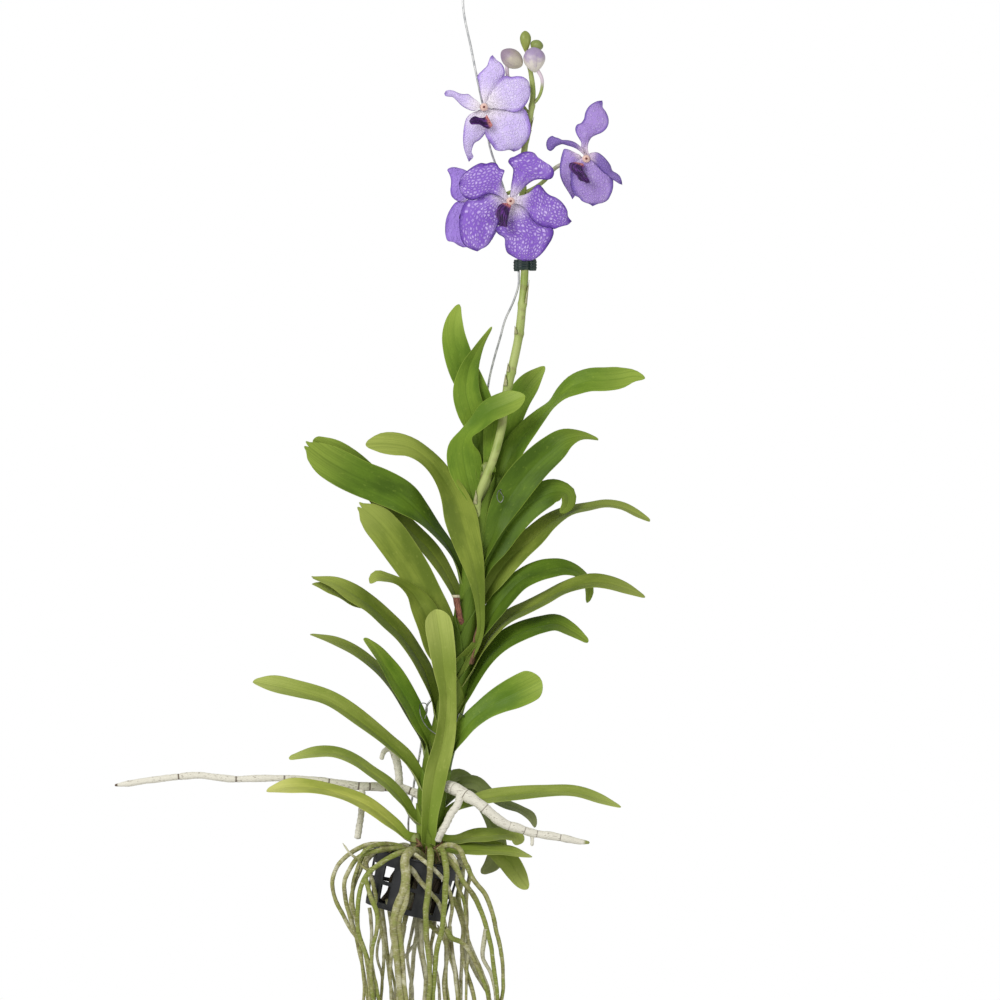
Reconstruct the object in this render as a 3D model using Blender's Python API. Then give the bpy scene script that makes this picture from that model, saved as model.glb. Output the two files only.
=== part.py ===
"""A vanda orchid in flower, bare-rooted round a small net basket and hanging on its wire.

The plant is set out on an upright drawing sheet, one metre wide, in millimetres: x to the right, y down
and depth away from the viewer. The object's own frame has its origin at the seat of the wire's hook.
"""

import math

import bpy
import numpy as np

MM = 0.001

# Driving dimensions, in millimetres
HOOK_SEAT = (450.0, -65.0)
CLEARANCE = 0.4
LEAF_THICKNESS = 1.8
LEAF_FOLD = 10.0
LEAF_RINGS = 12
PETAL_THICKNESS = 1.2
PETAL_CUP = 6.0
PETAL_RINGS = 7
COLUMN_RADII = (4.4, 4.6, 4.2)
PEDICEL_RADIUS = 1.6
WIRE_RADIUS = 1.1
HOOK_RADIUS = 17.0
ROOT_RING_STEP = 30.0
ROOT_SIDES = 5

BASKET_RIM = (418.0, 858.0, 0.0)
BASKET_TILT = 13.5
BASKET_RADIUS = 43.0
BASKET_FOOT_RADIUS = 40.0
BASKET_HEIGHT = 55.0
BASKET_WALL = 1.8
BASKET_SECTORS = 10
BASKET_PHASE = 18.0

# Stem axis: x, y, depth, radius
STEM = [
    (428, 850, 0, 9),
    (430, 820, 0, 11),
    (433, 790, 0, 12),
    (438, 760, 0, 12),
    (445, 730, 0, 11.5),
    (452, 700, 0, 11),
    (459, 665, 0, 10.5),
    (465, 630, 0, 10),
    (470, 595, 0, 9.5),
    (475, 560, 0, 9),
    (480, 525, 0, 8),
    (484, 490, 0, 7),
    (487, 462, 0, 5),
]

# Leaves, from the lowest up: name, side (-1 left, 1 right), height of the base on the stem, the base's
# angle from the side towards the viewer, then x, y, depth, half width and the turn of the upper face
# away from the viewer, from the base to the tip
LEAVES = [
    ("leaf_left_01", -1, 844, 25, [(406, 838, -10, 8, 62), (394, 826, -12, 12, 62), (370, 807, -14, 14, 62),
     (340, 793.5, -15, 14, 64), (312, 787, -16, 14, 64), (288, 787, -16, 13, 60), (267, 790.5, -15, 4, 60)]),
    ("leaf_left_02", -1, 828, 10, [(412, 818, -4, 8, 65), (402, 801, -6, 12, 65), (389, 786, -7, 13, 65),
     (372, 773, -7, 13, 65), (356, 761.5, -7, 13, 68), (336, 754, -6, 13, 68), (314, 753.5, -5, 12, 62),
     (289, 758, -4, 4, 60)]),
    ("leaf_left_03", -1, 798, 5, [(415, 776, 0, 10, 62), (405, 761, 1, 14, 64), (385, 742, 1, 15, 64),
     (355, 718.5, 0, 15, 60), (325, 700, -2, 15, 58), (297, 691.5, -3, 15, 55), (268, 685, -4, 12, 55),
     (253, 682, -4, 3, 55)]),
    ("leaf_left_04", -1, 776, -35, [(420, 736, 12, 11, 66), (406, 709, 12, 13, 66), (391, 687, 12, 13, 68),
     (375, 668, 12, 13, 68), (357, 654, 11, 13, 70), (334, 643, 9, 12, 70), (310, 634.5, 8, 3, 68)]),
    ("leaf_left_05", -1, 762, 20, [(427, 741, -8, 11, 55), (418, 723, -9, 14, 52), (408, 702, -9, 15, 52),
     (397, 684, -8, 15, 52), (386, 667, -7, 14, 55), (375, 651, -6, 11, 58), (364, 638, -6, 3, 58)]),
    ("leaf_left_06", -1, 728, 0, [(431, 692, 0, 11, 58), (424, 671, 0, 14, 58), (413, 652, 0, 15, 62),
     (402, 637, -1, 15, 60), (387, 622, -2, 15, 55), (369, 605, -3, 15, 55), (351, 593, -4, 14, 52),
     (335, 584, -4, 10, 55), (317, 579, -4, 4, 58)]),
    ("leaf_left_07", -1, 694, 25, [(443, 668, -9, 10, 40), (437, 645, -11, 14, 15), (430, 624, -12, 14, 15),
     (420, 604, -13, 14, 35), (410, 591, -14, 12, 60), (398, 583, -14, 12, 72), (386, 579, -14, 12, 66),
     (376, 577, -14, 9, 50), (370, 583, -14, 3, 40)]),
    ("leaf_left_08", -1, 662, -5, [(451, 636, 0, 9, 45), (440, 617, 1, 13, 15), (428, 596, 2, 15, 0),
     (415, 572, 2, 16, 0), (401, 551, 1, 17, 0), (387, 532, 0, 17, 0), (374, 518, -1, 15, 0),
     (362, 508, -2, 8, 0)]),
    ("leaf_left_09", -1, 632, -30, [(455, 595, 11, 10, 55), (444, 572, 14, 12, 55), (430, 552, 14, 13, 50),
     (412, 533, 14, 13, 45), (396, 518, 14, 13, 45), (380, 504, 14, 12, 45), (362, 488, 13, 4, 45)]),
    ("leaf_left_10", -1, 600, -12, [(457, 566, 3, 8, 65), (447, 546, 3, 11, 65), (433, 529, 2, 14, 62),
     (418, 512, 0, 16, 45), (400, 496, -2, 17, 12), (380, 486, -3, 18, 2), (360, 478, -4, 18, 0),
     (342, 469, -4, 18, 0), (325, 459, -4, 16, 0), (309, 447, -4, 8, 0)]),
    ("leaf_left_11", -1, 572, 65, [(467, 548, -13, 10, 12), (462, 527, -14, 15, 5), (456, 505, -15, 15, 5),
     (447, 484, -15, 15, 30), (437, 467, -15, 15, 58), (425, 454, -15, 14, 55), (410, 447, -15, 14, 42),
     (395, 445, -15, 14, 35), (380, 444, -15, 11, 30), (366, 445, -15, 3, 30)]),
    ("leaf_front", -1, 782, 80, [(443, 752, -17, 10, 20), (446, 720, -18, 10, 20), (447, 695, -18, 10, 15),
     (444, 668, -19, 13, 10), (441, 642, -20, 15, 5), (438, 622, -21, 15, 5), (436, 609, -22, 11, 5)]),
    ("leaf_right_01", 1, 845, 40, [(446, 849, -10, 9, 60), (470, 849.5, -13, 13, 66), (492, 850.5, -14, 13, 68),
     (512, 852, -14, 11, 68), (532, 856, -14, 3, 70)]),
    ("leaf_right_02", 1, 843, -30, [(446, 850, 14, 8, 60), (468, 850, 20, 10, 55), (492, 851, 22, 11, 40),
     (507, 861, 20, 11, 10), (516, 873, 18, 10, 0), (523, 884, 16, 7, 0), (528, 890, 15, 3, 0)]),
    ("leaf_right_03", 1, 840, 15, [(455, 841, 1, 9, 62), (470, 838, 1, 13, 64), (490, 836, 0, 14, 64),
     (508, 836, -1, 14, 66), (516, 838, -2, 12, 60), (517, 845, -3, 7, 40)]),
    ("leaf_right_04", 1, 806, -75, [(447, 786, 27, 9, 50), (458, 779, 37, 11, 55), (470, 788, 45, 11, 50),
     (482, 810, 48, 11, 60), (493, 832, 48, 10, 45), (498, 852, 46, 9, 20), (493, 865, 45, 9, 10),
     (481, 876, 44, 3, 10)]),
    ("leaf_right_05", 1, 820, -60, [(452, 797, 19, 8, 50), (462, 785, 22, 11, 55), (474, 785, 26, 11, 50),
     (488, 796, 28, 11, 62), (505, 806, 28, 11, 66), (520, 812, 28, 10, 66), (531, 820, 27, 9, 60),
     (535, 829, 27, 3, 60)]),
    ("leaf_right_06", 1, 836, -12, [(444, 822, -1, 9, 62), (454, 811, 1, 10, 62), (468, 804, 2, 11, 62),
     (486, 799, 2, 14, 62), (512, 795.5, 2, 14, 63), (542, 792.5, 2, 13, 63), (575, 793, 2, 12, 63),
     (600, 800, 2, 9, 62), (621, 807, 2, 2, 62)]),
    ("leaf_right_07", 1, 764, 25, [(459, 738, -11, 11, 45), (470, 722, -13, 14, 28), (484, 710, -14, 15, 15),
     (500, 699, -15, 16, 8), (516, 692, -16, 16, 5), (530, 686, -16, 16, 5), (541, 681, -16, 13, 5)]),
    ("leaf_right_08", 1, 724, 5, [(467, 697, -4, 11, 55), (476, 675, -5, 14, 55), (489, 656, -4, 15, 52),
     (507, 640.5, -4, 15, 52), (525, 631, -5, 15, 52), (541, 626, -6, 15, 54), (556, 624, -7, 14, 52),
     (569, 630, -8, 11, 50), (588, 642, -9, 3, 50)]),
    ("leaf_right_09", 1, 690, 12, [(474, 667, -4, 10, 60), (482, 650, -2, 12, 62), (493, 633, -2, 14, 63),
     (508, 619, -1, 14, 63), (527, 609, 0, 14, 64), (548, 598, 2, 14, 65), (563, 590, 4, 14, 64),
     (578, 585, 5, 14, 64), (593, 582.5, 5, 14, 64), (608, 584, 4, 13, 64), (624, 588.5, 3, 10, 62),
     (645, 597, 2, 3, 62)]),
    ("leaf_right_10", 1, 655, 20, [(484, 630, -7, 10, 45), (494, 612, -8, 13, 42), (506, 596, -9, 14, 42),
     (520, 582, -9, 14, 42), (535, 574, -10, 14, 42), (550, 569.5, -12, 14, 42), (564, 567, -14, 13, 40),
     (577, 571, -16, 12, 36), (587, 581, -17, 11, 30), (589, 594, -17, 9, 30), (587, 603, -16, 3, 30)]),
    ("leaf_right_11", 1, 620, -30, [(483, 601, 6, 8, 35), (492, 584, 7, 12, 25), (505, 565, 7, 14, 25),
     (520, 550, 6, 14, 30), (535, 537.5, 5, 14, 38), (552, 522, 4, 14, 55), (570, 512, 3, 14, 68),
     (590, 508, 2, 14, 70), (606, 505.5, 1, 13, 70), (622, 508, 0, 12, 70), (637, 515, -1, 9, 68),
     (650, 521, -2, 3, 68)]),
    ("leaf_right_12", 1, 590, 5, [(486, 568, -3, 8, 30), (497, 546, -3, 13, 15), (510, 525, -4, 15, 12),
     (526, 508, -5, 15, 12), (542, 497, -6, 15, 20), (556, 492, -7, 14, 35), (567, 495, -8, 12, 50),
     (567, 504, -10, 9, 40), (560, 513, -12, 3, 30)]),
    ("leaf_right_13", 1, 560, 30, [(491, 540, -8, 8, 25), (498, 520, -9, 12, 12), (508, 500, -10, 16, 8),
     (521, 481, -11, 17, 5), (537, 463, -12, 16, 5), (552, 450, -13, 15, 12), (566, 440, -14, 13, 30),
     (581, 437, -15, 9, 55), (598, 440, -16, 2, 60)]),
    ("leaf_right_14", 1, 530, -15, [(492, 507, 4.5, 6, 22), (500, 485, 6, 9.5, 24), (508, 463, 8, 13, 34),
     (518, 444, 8, 14, 38), (530, 429, 7, 14, 48), (542, 416, 6, 14, 62), (553, 405, 5, 14, 72),
     (563, 394, 4, 14, 58), (575, 386, 3, 14, 38), (590, 381, 2, 14, 30), (605, 380.5, 1, 14, 30),
     (621, 379, 0, 13, 35), (634, 376.5, -1, 8, 40), (645, 378, -2, 2, 40)]),
    ("leaf_right_15", 1, 501, -90, [(487, 493, 16, 4.5, 20), (490, 482, 20, 6, 18), (496, 468, 22, 9, 15), (502, 446, 22, 12, 10), (510, 420, 22, 13, 8),
     (519, 398, 21, 13, 5), (530, 382, 20, 11, 0), (545, 366, 19, 2, 0)]),
    ("leaf_top_01", -1, 528, 40, [(469, 502, -8, 8, 30), (466, 480, -9, 13, 10), (463, 460, -9, 17, 5),
     (466, 440, -10, 17, 0), (478, 424, -14, 16, -10), (495, 412, -18, 15, -20), (511, 404, -22, 12, -25),
     (524, 398, -25, 5, -25)]),
    ("leaf_top_02", -1, 480, -60, [(480, 455, 5, 8, 10), (476, 430, 5, 10, 5), (471, 412, 4, 14, 5),
     (466, 392, 3, 14, 12), (468, 371, 1, 11, 25), (478, 348, -1, 6, 35), (492, 327, -3, 1.5, 40)]),
    ("leaf_top_03", 1, 472, 20, [(490, 450, 0, 7, 5), (492, 435, 0, 9, 0), (495, 418, -1, 9, 0),
     (499, 402, -1, 3, 0)]),
    ("leaf_top_04", 1, 490, -88, [(488, 462, 13, 10, 5), (484, 425, 14, 14, 5), (478, 402, 13, 15, 5),
     (471, 385, 12, 15, 8), (463, 368, 11, 15, 10), (457, 350, 10, 14, 10), (454, 334, 9, 12, 10),
     (455, 318, 8, 8, 10), (459, 304, 7, 2, 10)]),
]

# Flower spike: x, y, depth, radius
SPIKE = [
    (482, 526, -5, 4.5),
    (480.5, 515, -11, 5),
    (478, 502, -15.5, 5.3),
    (481, 489, -18, 5.2),
    (490, 468, -20, 5),
    (497, 447, -19, 4.8),
    (502, 425, -12, 4.6),
    (505, 400, -8, 4.6),
    (509, 382, -6, 4.6),
    (514, 360, -4, 4.4),
    (519, 335, -2, 4.4),
    (522, 308, -1, 4.2),
    (524, 285, 0, 4),
    (525, 262, 0, 3.8),
    (525, 235, 3, 3.6),
    (523, 200, 4, 3.5),
    (523, 165, 2, 3.3),
    (526, 138, 1, 3.1),
    (531, 112, 1, 2.9),
    (533, 92, 2, 2.7),
    (531, 74, 3, 2.4),
    (528, 58, 3, 1.8),
]

SPIKE_BRACT = [(522, 304, -4, 1), (525, 296, -4, 2.6), (527, 286, -2, 1)]

# Buds: name, centre x, y, depth, radii along x, y and depth, then the pedicel's points back to the spike
BUDS = [
    ("bud_1", (511, 57.5, -7), (10, 9, 9), [(509, 64, -6), (508, 74, -1), (515, 92, 4), (525, 108, 3), (531, 115, 1)]),
    ("bud_2", (534, 60, -9), (10.5, 12.5, 11), [(538, 68, -8), (542.5, 78, -6), (542, 91, -3), (537, 101, 0), (532, 106, 1)]),
    ("bud_3", (524, 40, 2), (5, 9.5, 5), [(524.5, 47, 2), (526, 53, 2.5), (528, 59, 3)]),
    ("bud_4", (537, 44.5, 3), (6.5, 4.6, 5), [(535, 46, 3), (533.5, 52, 4), (531.5, 59, 4), (529.4, 65, 3)]),
]

# Flowers: column centre, then pedicel points back to the spike, then each piece as x, y, depth, half
# width to the left and to the right of its own direction, and turn
FLOWERS = {
    "flower_top": {
        "column": (484, 108, -13),
        "pedicel": [(488, 110, -9), (500, 118, -2), (513, 124, 2), (528, 129, 1)],
        "sepals": [
            [(486, 104, -11, 3, 4, 0), (488, 90, -9, 8, 9, 0), (491, 77, -8, 12, 13.5, -5), (494, 66, -6, 8.5, 10.5, -8),
             (493, 56, -3, 2, 2, -8)],
            [(487, 110, -11, 3, 3, 0), (498, 121, -10, 20, 5, 0), (505, 131, -10, 24, 13, 0),
             (509, 142, -9, 17, 20, 0), (510, 150, -8, 8, 12, 0)],
            [(481, 112, -11, 3, 3, 0), (475, 125, -9, 10, 11, 25), (472, 138, -6, 10, 10, 30),
             (469, 150, -2, 4, 5, 30), (469.5, 161, 1, 1, 1, 30)],
        ],
        "petal_left": [(477, 107.5, -14, 3, 3, 0), (470, 104, -13, 8, 7, 10), (460, 99, -9, 6, 6, 20),
                       (451, 94, -4, 4, 4, 30), (444.5, 93, 0, 1.5, 1.5, 30)],
        "petal_right": [(490.5, 105, -15, 3, 3, 0), (499, 100, -14, 14, 8, 0), (511, 96, -13, 18, 15, 0),
                        (522, 93, -12, 15, 15, 0), (529, 92, -10, 8, 9, 0)],
        "lip": [(487, 116, -19, 3, 3, 0), (485, 121.5, -19, 5, 4, 0), (478, 123, -22, 4, 4, 0),
                (470.5, 123, -25, 1.5, 1.5, 0)],
    },
    "flower_front": {
        "column": (510.5, 204, -42),
        "pedicel": [(512, 204, -36), (516, 202, -24), (519, 200, -12), (523, 199, 4)],
        "sepals": [
            [(513, 200, -40, 4, 4, 0), (516, 189, -40, 6, 7, 0), (521, 179, -40, 11, 11, 0),
             (528, 172, -39, 18, 15, 0), (536, 168, -37, 15, 15, 5), (545, 168, -34, 7, 8, 10)],
            [(506, 208, -40, 4, 4, 0), (495, 213, -40, 10, 14, 0), (484, 221, -40, 14, 22, 0),
             (476, 232, -39, 16, 19, 0), (473, 243, -37, 13, 11, 0), (475, 252, -35, 5, 4, 0)],
            [(512, 209, -40, 4, 4, 0), (517, 222, -40, 14, 9, 0), (523, 236, -40, 27, 21, 0),
             (526, 249, -39, 21, 19, 0), (526, 261, -36, 8, 8, 0)],
        ],
        "petal_left": [(503, 201.5, -45, 3, 3, 0), (496, 193, -44, 6, 12, 0), (487, 185, -43, 9, 18, 0),
                       (474, 184, -43, 16, 14, 0), (463, 187, -41, 8, 8, 0)],
        "petal_right": [(518, 204, -45, 3, 3, 0), (527, 205, -44, 10, 9, 0), (538, 206, -43, 18, 15, 0),
                        (551, 212, -43, 15, 15, 0), (563, 219, -41, 9, 8, 0), (570.5, 222.5, -40, 1.5, 1.5, 0)],
        "lip": [(508, 210.5, -48, 3, 3, 0), (505, 215, -51, 5, 7, 0), (503, 221, -55, 5, 5, 0),
                (502, 227.5, -58, 6, 5, 0)],
    },
    "flower_right": {
        "column": (586, 160, -20),
        "pedicel": [(583, 160, -15), (572, 162, -7), (556, 167.5, -1), (544, 181, 1), (534, 188, 3), (523, 193, 4)],
        "sepals": [
            [(586, 156, -18, 4, 3, 0), (587, 142, -17, 8, 7, 0), (591, 130, -17, 15, 14, 5),
             (596, 119, -16, 12, 12, 10), (599, 108, -14, 8, 6, 15), (601, 102, -12, 2, 2, 15)],
            [(583, 163, -18, 3, 4, 0), (573, 167, -17, 8, 11, 0), (568, 176, -16, 11, 9, 0),
             (571, 187, -14, 9, 6, 0), (573, 198, -12, 2, 2, 0)],
            [(588, 164, -18, 3, 4, 0), (592, 173, -18, 12, 8, 0), (594, 184, -17, 18, 13, 0),
             (594, 196, -15, 14, 11, 0), (593, 206, -13, 4, 4, 0)],
        ],
        "petal_left": [(579.5, 154, -22, 3, 3, 20), (572, 148, -22, 4, 4, 40), (563, 144, -20, 4, 4, 50),
                       (555, 144.5, -18, 6, 7, 30), (546.5, 146, -16, 2, 2, 20)],
        "petal_right": [(592, 158, -23.5, 2.6, 2.6, 10), (598, 161, -24, 4, 5, 30), (605, 168, -22, 6, 7, 35),
                        (611, 175, -20, 6, 6, 35), (621, 185, -17, 1.5, 1.5, 35)],
        "lip": [(583, 167, -24, 3, 4, 0), (578, 172, -27, 6, 8, 0), (581, 178, -31, 5, 5, 0),
                (588, 184, -34, 2, 2, 0)],
    },
    "flower_back": {
        "column": (474, 203, 12),
        "pedicel": [(477, 203, 16), (490, 199, 20), (504, 194, 18.5), (514, 190, 14), (523, 188, 4)],
        "sepals": [
            [(475, 199, 15, 4, 4, 0), (479, 188, 16, 8, 8, 0), (482, 178, 17, 10, 10, 0), (484, 169, 18, 5, 5, 0)],
            [(471, 207, 15, 4, 4, 0), (464, 217, 16, 12, 13, 0), (461, 229, 17, 14, 15, 0), (463, 242, 18, 8, 9, 0)],
            [(477, 207, 15, 4, 4, 0), (484, 217, 17, 11, 10, 20), (489, 227, 20, 10, 10, 25), (492, 236, 23, 4, 4, 25)],
            [(470, 200, 13, 3, 3, 0), (463, 191, 12, 11, 12, 0), (458, 180, 12, 8, 12, 0), (456, 171, 13, 5, 7, 0)],
            [(479, 202, 13, 3, 3, 0), (487, 200, 15, 8, 8, 30), (496, 202, 18, 8, 8, 40), (502, 205, 22, 3, 3, 40)],
        ],
        "lip": [(471, 209, 7.5, 3, 3, 0), (467, 213, 4, 6, 6, 0), (464, 218, 1, 5, 5, 0), (462, 223, -1, 3, 3, 0)],
    },
}

# Aerial roots: x, y, depth, radius
ROOT_LEFT = [
    [(428, 797, 7, 4.4), (421, 796, 14, 4.4), (411, 792, 18, 4.6), (398, 788, 19, 4.8), (379, 787.5, 18, 4.8), (360, 787, 15, 4.4),
     (340, 784, 12, 4), (320, 781, 9, 3.8), (299, 779.5, 6, 3.6), (266, 778.5, 3, 3.5), (233, 779, 1, 3.5),
     (216, 777, 0, 3.4), (203, 775.5, 0, 3.4), (175, 777, -1, 3.3), (150, 780, -2, 3.2), (127, 783.5, -3, 2.8),
     (115, 785, -3, 1.2)],
    [(362, 787, 15, 3.2), (362, 800, 14, 3.2), (361, 815, 12, 3.2), (359, 829, 9, 3.2), (357.5, 839, 6, 3)],
    [(399, 787, 19, 4), (398, 772, 19, 4), (395, 758, 19, 3.8), (390, 749, 19, 3.4), (385, 751, 18, 2.8),
     (381, 760, 17, 2)],
]
ROOT_RIGHT = [
    [(438, 785, -5, 5), (446, 786, -12, 5.6), (458, 790, -17, 6), (469, 796, -20, 5.6), (480, 803, -22, 5.5), (490, 812, -23, 5.2),
     (498, 819, -23, 5), (507, 824, -22, 4.7), (518, 827, -21, 4.5), (528, 830.5, -20, 4.2), (539, 833, -20, 4),
     (552, 835, -20, 4), (565, 837.5, -20, 3.7), (578, 840.5, -20, 3), (589, 841.5, -20, 1.2)],
    [(531, 831, -20, 2), (532, 838, -19, 1.9), (532, 845, -18, 1.5)],
    [(460, 792, -18, 4), (458, 803, -21, 3.9), (452, 812, -22, 3.8), (446, 824, -22, 3.7), (440, 835, -21, 3.5),
     (438, 841, -20, 3.2)],
]

# Hanging roots: radius at the crown and at the tip, then x, y, depth
CROWN = ((428, 858.5, 0), (15, 8, 12))
HANGING_ROOTS = [
    (2.6, 1.6, [(424, 858, -4), (406, 848, -16), (372, 843, -26), (352, 850, -30), (339, 863, -31), (334, 888, -30),
                (345, 917, -27), (362, 945, -24), (370, 985, -20), (372, 1040, -15), (368, 1090, -12), (371, 1150, -10)]),
    (2.9, 1.6, [(424, 859, -2), (410, 850, -20), (382, 848, -38), (357, 857, -40), (347, 874, -40), (346, 896, -39),
                (352, 920, -36), (364, 948, -30), (374, 990, -23), (378, 1050, -17), (382, 1120, -12)]),
    (3.1, 1.6, [(425, 858, -6), (413, 849, -32), (398, 851, -50), (384, 858, -54), (371, 868, -55), (362, 881, -54),
                (358, 901, -52), (359, 925, -47), (366, 950, -40), (378, 985, -30), (386, 1040, -20), (390, 1100, -14)]),
    (2.6, 1.5, [(366, 874, -55), (371, 893, -54), (378, 912, -53), (378, 930, -50), (373, 948, -44), (372, 975, -36),
                (380, 1020, -26), (384, 1080, -18)]),
    (5.6, 1.8, [(424, 860, -6), (412, 849, -34), (406, 856, -53), (406, 872, -56), (404, 886, -56), (398, 902, -55),
                (395, 925, -51), (397, 950, -45), (401, 985, -37), (404, 1040, -25), (402, 1110, -16), (405, 1180, -12)]),
    (3.2, 1.6, [(407, 880, -56), (406, 898, -55), (401, 916, -53), (402, 940, -47), (404, 965, -41), (408, 1010, -31),
                (410, 1070, -20), (409, 1130, -14)]),
    (3.6, 1.7, [(430, 860, -8), (431, 849, -36), (431, 861, -52), (429, 882, -55), (427, 903, -54), (427, 925, -49),
                (429, 950, -43), (430, 985, -35), (428, 1040, -25), (426, 1110, -17), (428, 1190, -12)]),
    (3.5, 1.7, [(434, 860, -8), (443, 849, -38), (446, 863, -50), (446, 885, -53), (445, 905, -52), (442, 925, -48),
                (437, 950, -42), (434, 980, -34), (437, 1030, -24), (440, 1090, -16), (438, 1160, -12)]),
    (3.2, 1.6, [(434, 858, -6), (443, 852, -31), (455, 864, -39), (464, 879, -40), (474, 893, -40), (483, 913, -37),
                (490, 938, -33), (494, 965, -29), (498, 1000, -24), (500, 1040, -20), (497, 1090, -16), (500, 1150, -12)]),
    (3.0, 1.6, [(434, 858, -8), (438, 849, -27), (448, 843, -31), (459, 846, -33), (466, 860, -34), (474, 878, -33), (485, 892, -31),
                (492, 910, -30), (497, 932, -28), (502, 958, -25), (503, 985, -21), (499, 1015, -18), (500, 1060, -14),
                (505, 1110, -12)]),
    (2.6, 1.5, [(437, 860, 2), (452, 861, 8), (464, 863, 12), (469, 873, 14), (467, 890, 16), (467, 910, 16), (466, 930, 14),
                (462, 960, 12), (460, 1000, 10), (464, 1060, 8), (462, 1120, 6)]),
    (3.8, 1.7, [(436, 860, 6), (450, 850, 32), (459, 858, 42), (461, 880, 46), (458, 902, 42), (461, 914, 34),
                (464, 935, 24), (466, 970, 18), (474, 1000, 14), (478, 1050, 10), (476, 1110, 8)]),
    (2.6, 1.5, [(464, 933, 24), (470, 946, 16), (479, 966, 12), (487, 986, 10), (490, 1010, 8), (488, 1060, 8)]),
    (2.3, 1.4, [(465, 952, 20), (473, 968, 21), (481, 983, 19), (488, 996, 15), (491, 1030, 12), (487, 1080, 10)]),
    (2.6, 1.5, [(487, 926, -35), (484, 942, -28), (483, 957, -23), (490, 970, -20), (494, 985, -18), (493, 1040, -14)]),
    (3.4, 1.6, [(425, 862, 0), (416, 885, -12), (408, 908, -20), (402, 930, -22), (400, 960, -20), (398, 1010, -16),
                (396, 1080, -12)]),
    (3.2, 1.6, [(430, 862, 4), (426, 885, 14), (420, 908, 20), (417, 930, 18), (421, 955, 14), (426, 1000, 10),
                (422, 1070, 6)]),
    (3.4, 1.6, [(430, 862, 0), (431, 885, -7), (429, 905, -9), (430, 922, -9), (443, 936, -11), (452, 955, -12), (457, 985, -11),
                (458, 1040, -9), (456, 1120, -6)]),
    (3.2, 1.6, [(430, 858, 8), (436, 848, 36), (436, 860, 52), (430, 885, 53), (422, 915, 46), (414, 950, 34),
                (410, 1000, 24), (412, 1070, 16), (410, 1140, 10)]),
    (3.0, 1.5, [(424, 860, 8), (398, 849, 36), (386, 860, 44), (378, 890, 44), (380, 920, 38), (386, 955, 28),
                (392, 1000, 20), (394, 1060, 14), (391, 1120, 8)]),
    (2.8, 1.5, [(422, 858, 4), (396, 849, 18), (370, 852, 26), (360, 868, 28), (352, 890, 28), (350, 912, 25),
                (358, 945, 20), (366, 990, 15), (372, 1050, 11), (378, 1110, 8)]),
]

# Wire below the hook, down behind the plant and through a window at the back of the basket
WIRE = [
    (466.5, -30, 0), (463, 0, 0), (471.5, 50, 0), (480, 92, 0), (486, 120, 3), (490, 147, 6), (497, 168, 9),
    (506, 195, 12), (513, 225, 10), (517.5, 250, 3), (518.2, 264, 0), (518.5, 285, 0), (514, 300, 4), (505, 320, 10),
    (500, 338, 15), (495, 355, 19), (489, 380, 23), (486, 410, 27), (486, 450, 29), (489, 490, 29), (484, 540, 28),
    (479, 590, 28), (470, 635, 28), (452, 675, 28), (435, 697, 27), (427, 706, 26), (425, 718, 26), (421, 745, 26),
    (417, 768, 27), (414, 782, 29),
    (412, 798, 32), (408, 821, 39), (408, 835, 44), (410.5, 847, 47.5), (412.5, 857, 48.4), (413, 867, 48.4),
    (413, 875, 47), (413, 879, 43.5), (413, 880, 39), (413, 880, 33),
]

# Dried stub of an old flower stalk, and the little broken sheath beside the crown
OLD_STALK = [(463, 627, -6, 2.6), (461, 620, -11.5, 2.8), (458.5, 610, -14, 3), (457, 602, -15, 3.2), (455.5, 595, -16, 3.6)]
OLD_SHEATH = [(418, 849, -7, 5), (416, 842, -8, 5.5), (416, 836, -8, 4.5), (417, 832.5, -8, 2)]

COLOURS = {
    "leaf": ((0.16, 0.28, 0.05), 0.45, 0.0),
    "stem": ((0.22, 0.33, 0.08), 0.5, 0.0),
    "spike": ((0.25, 0.38, 0.10), 0.5, 0.0),
    "petal": ((0.28, 0.17, 0.62), 0.5, 0.0),
    "lip": ((0.10, 0.01, 0.16), 0.45, 0.0),
    "bud": ((0.45, 0.42, 0.45), 0.5, 0.0),
    "white_root": ((0.70, 0.66, 0.58), 0.8, 0.0),
    "green_root": ((0.32, 0.33, 0.16), 0.8, 0.0),
    "stub": ((0.22, 0.06, 0.04), 0.8, 0.0),
    "wire": ((0.55, 0.55, 0.55), 0.35, 1.0),
    "clip": ((0.01, 0.02, 0.015), 0.35, 0.0),
    "basket": ((0.01, 0.01, 0.012), 0.5, 0.0),
}


def clear_scene():
    for obj in list(bpy.data.objects):
        bpy.data.objects.remove(obj)


def material(name):
    """The named finish, made once."""
    made = bpy.data.materials.get(name)
    if made is None:
        colour, roughness, metallic = COLOURS[name]
        made = bpy.data.materials.new(name)
        made.use_nodes = True
        shader = made.node_tree.nodes["Principled BSDF"]
        shader.inputs["Base Color"].default_value = (*colour, 1)
        shader.inputs["Roughness"].default_value = roughness
        shader.inputs["Metallic"].default_value = metallic
        made.diffuse_color = (*colour, 1)
    return made


def from_sheet(rows):
    """Rows of sheet x, y, depth and anything more, turned to the object's own axes."""
    rows = np.array(rows, float)
    placed = rows.copy()
    placed[:, 0] = rows[:, 0] - HOOK_SEAT[0]
    placed[:, 1] = rows[:, 2]
    placed[:, 2] = HOOK_SEAT[1] - rows[:, 1]
    return placed


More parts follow.
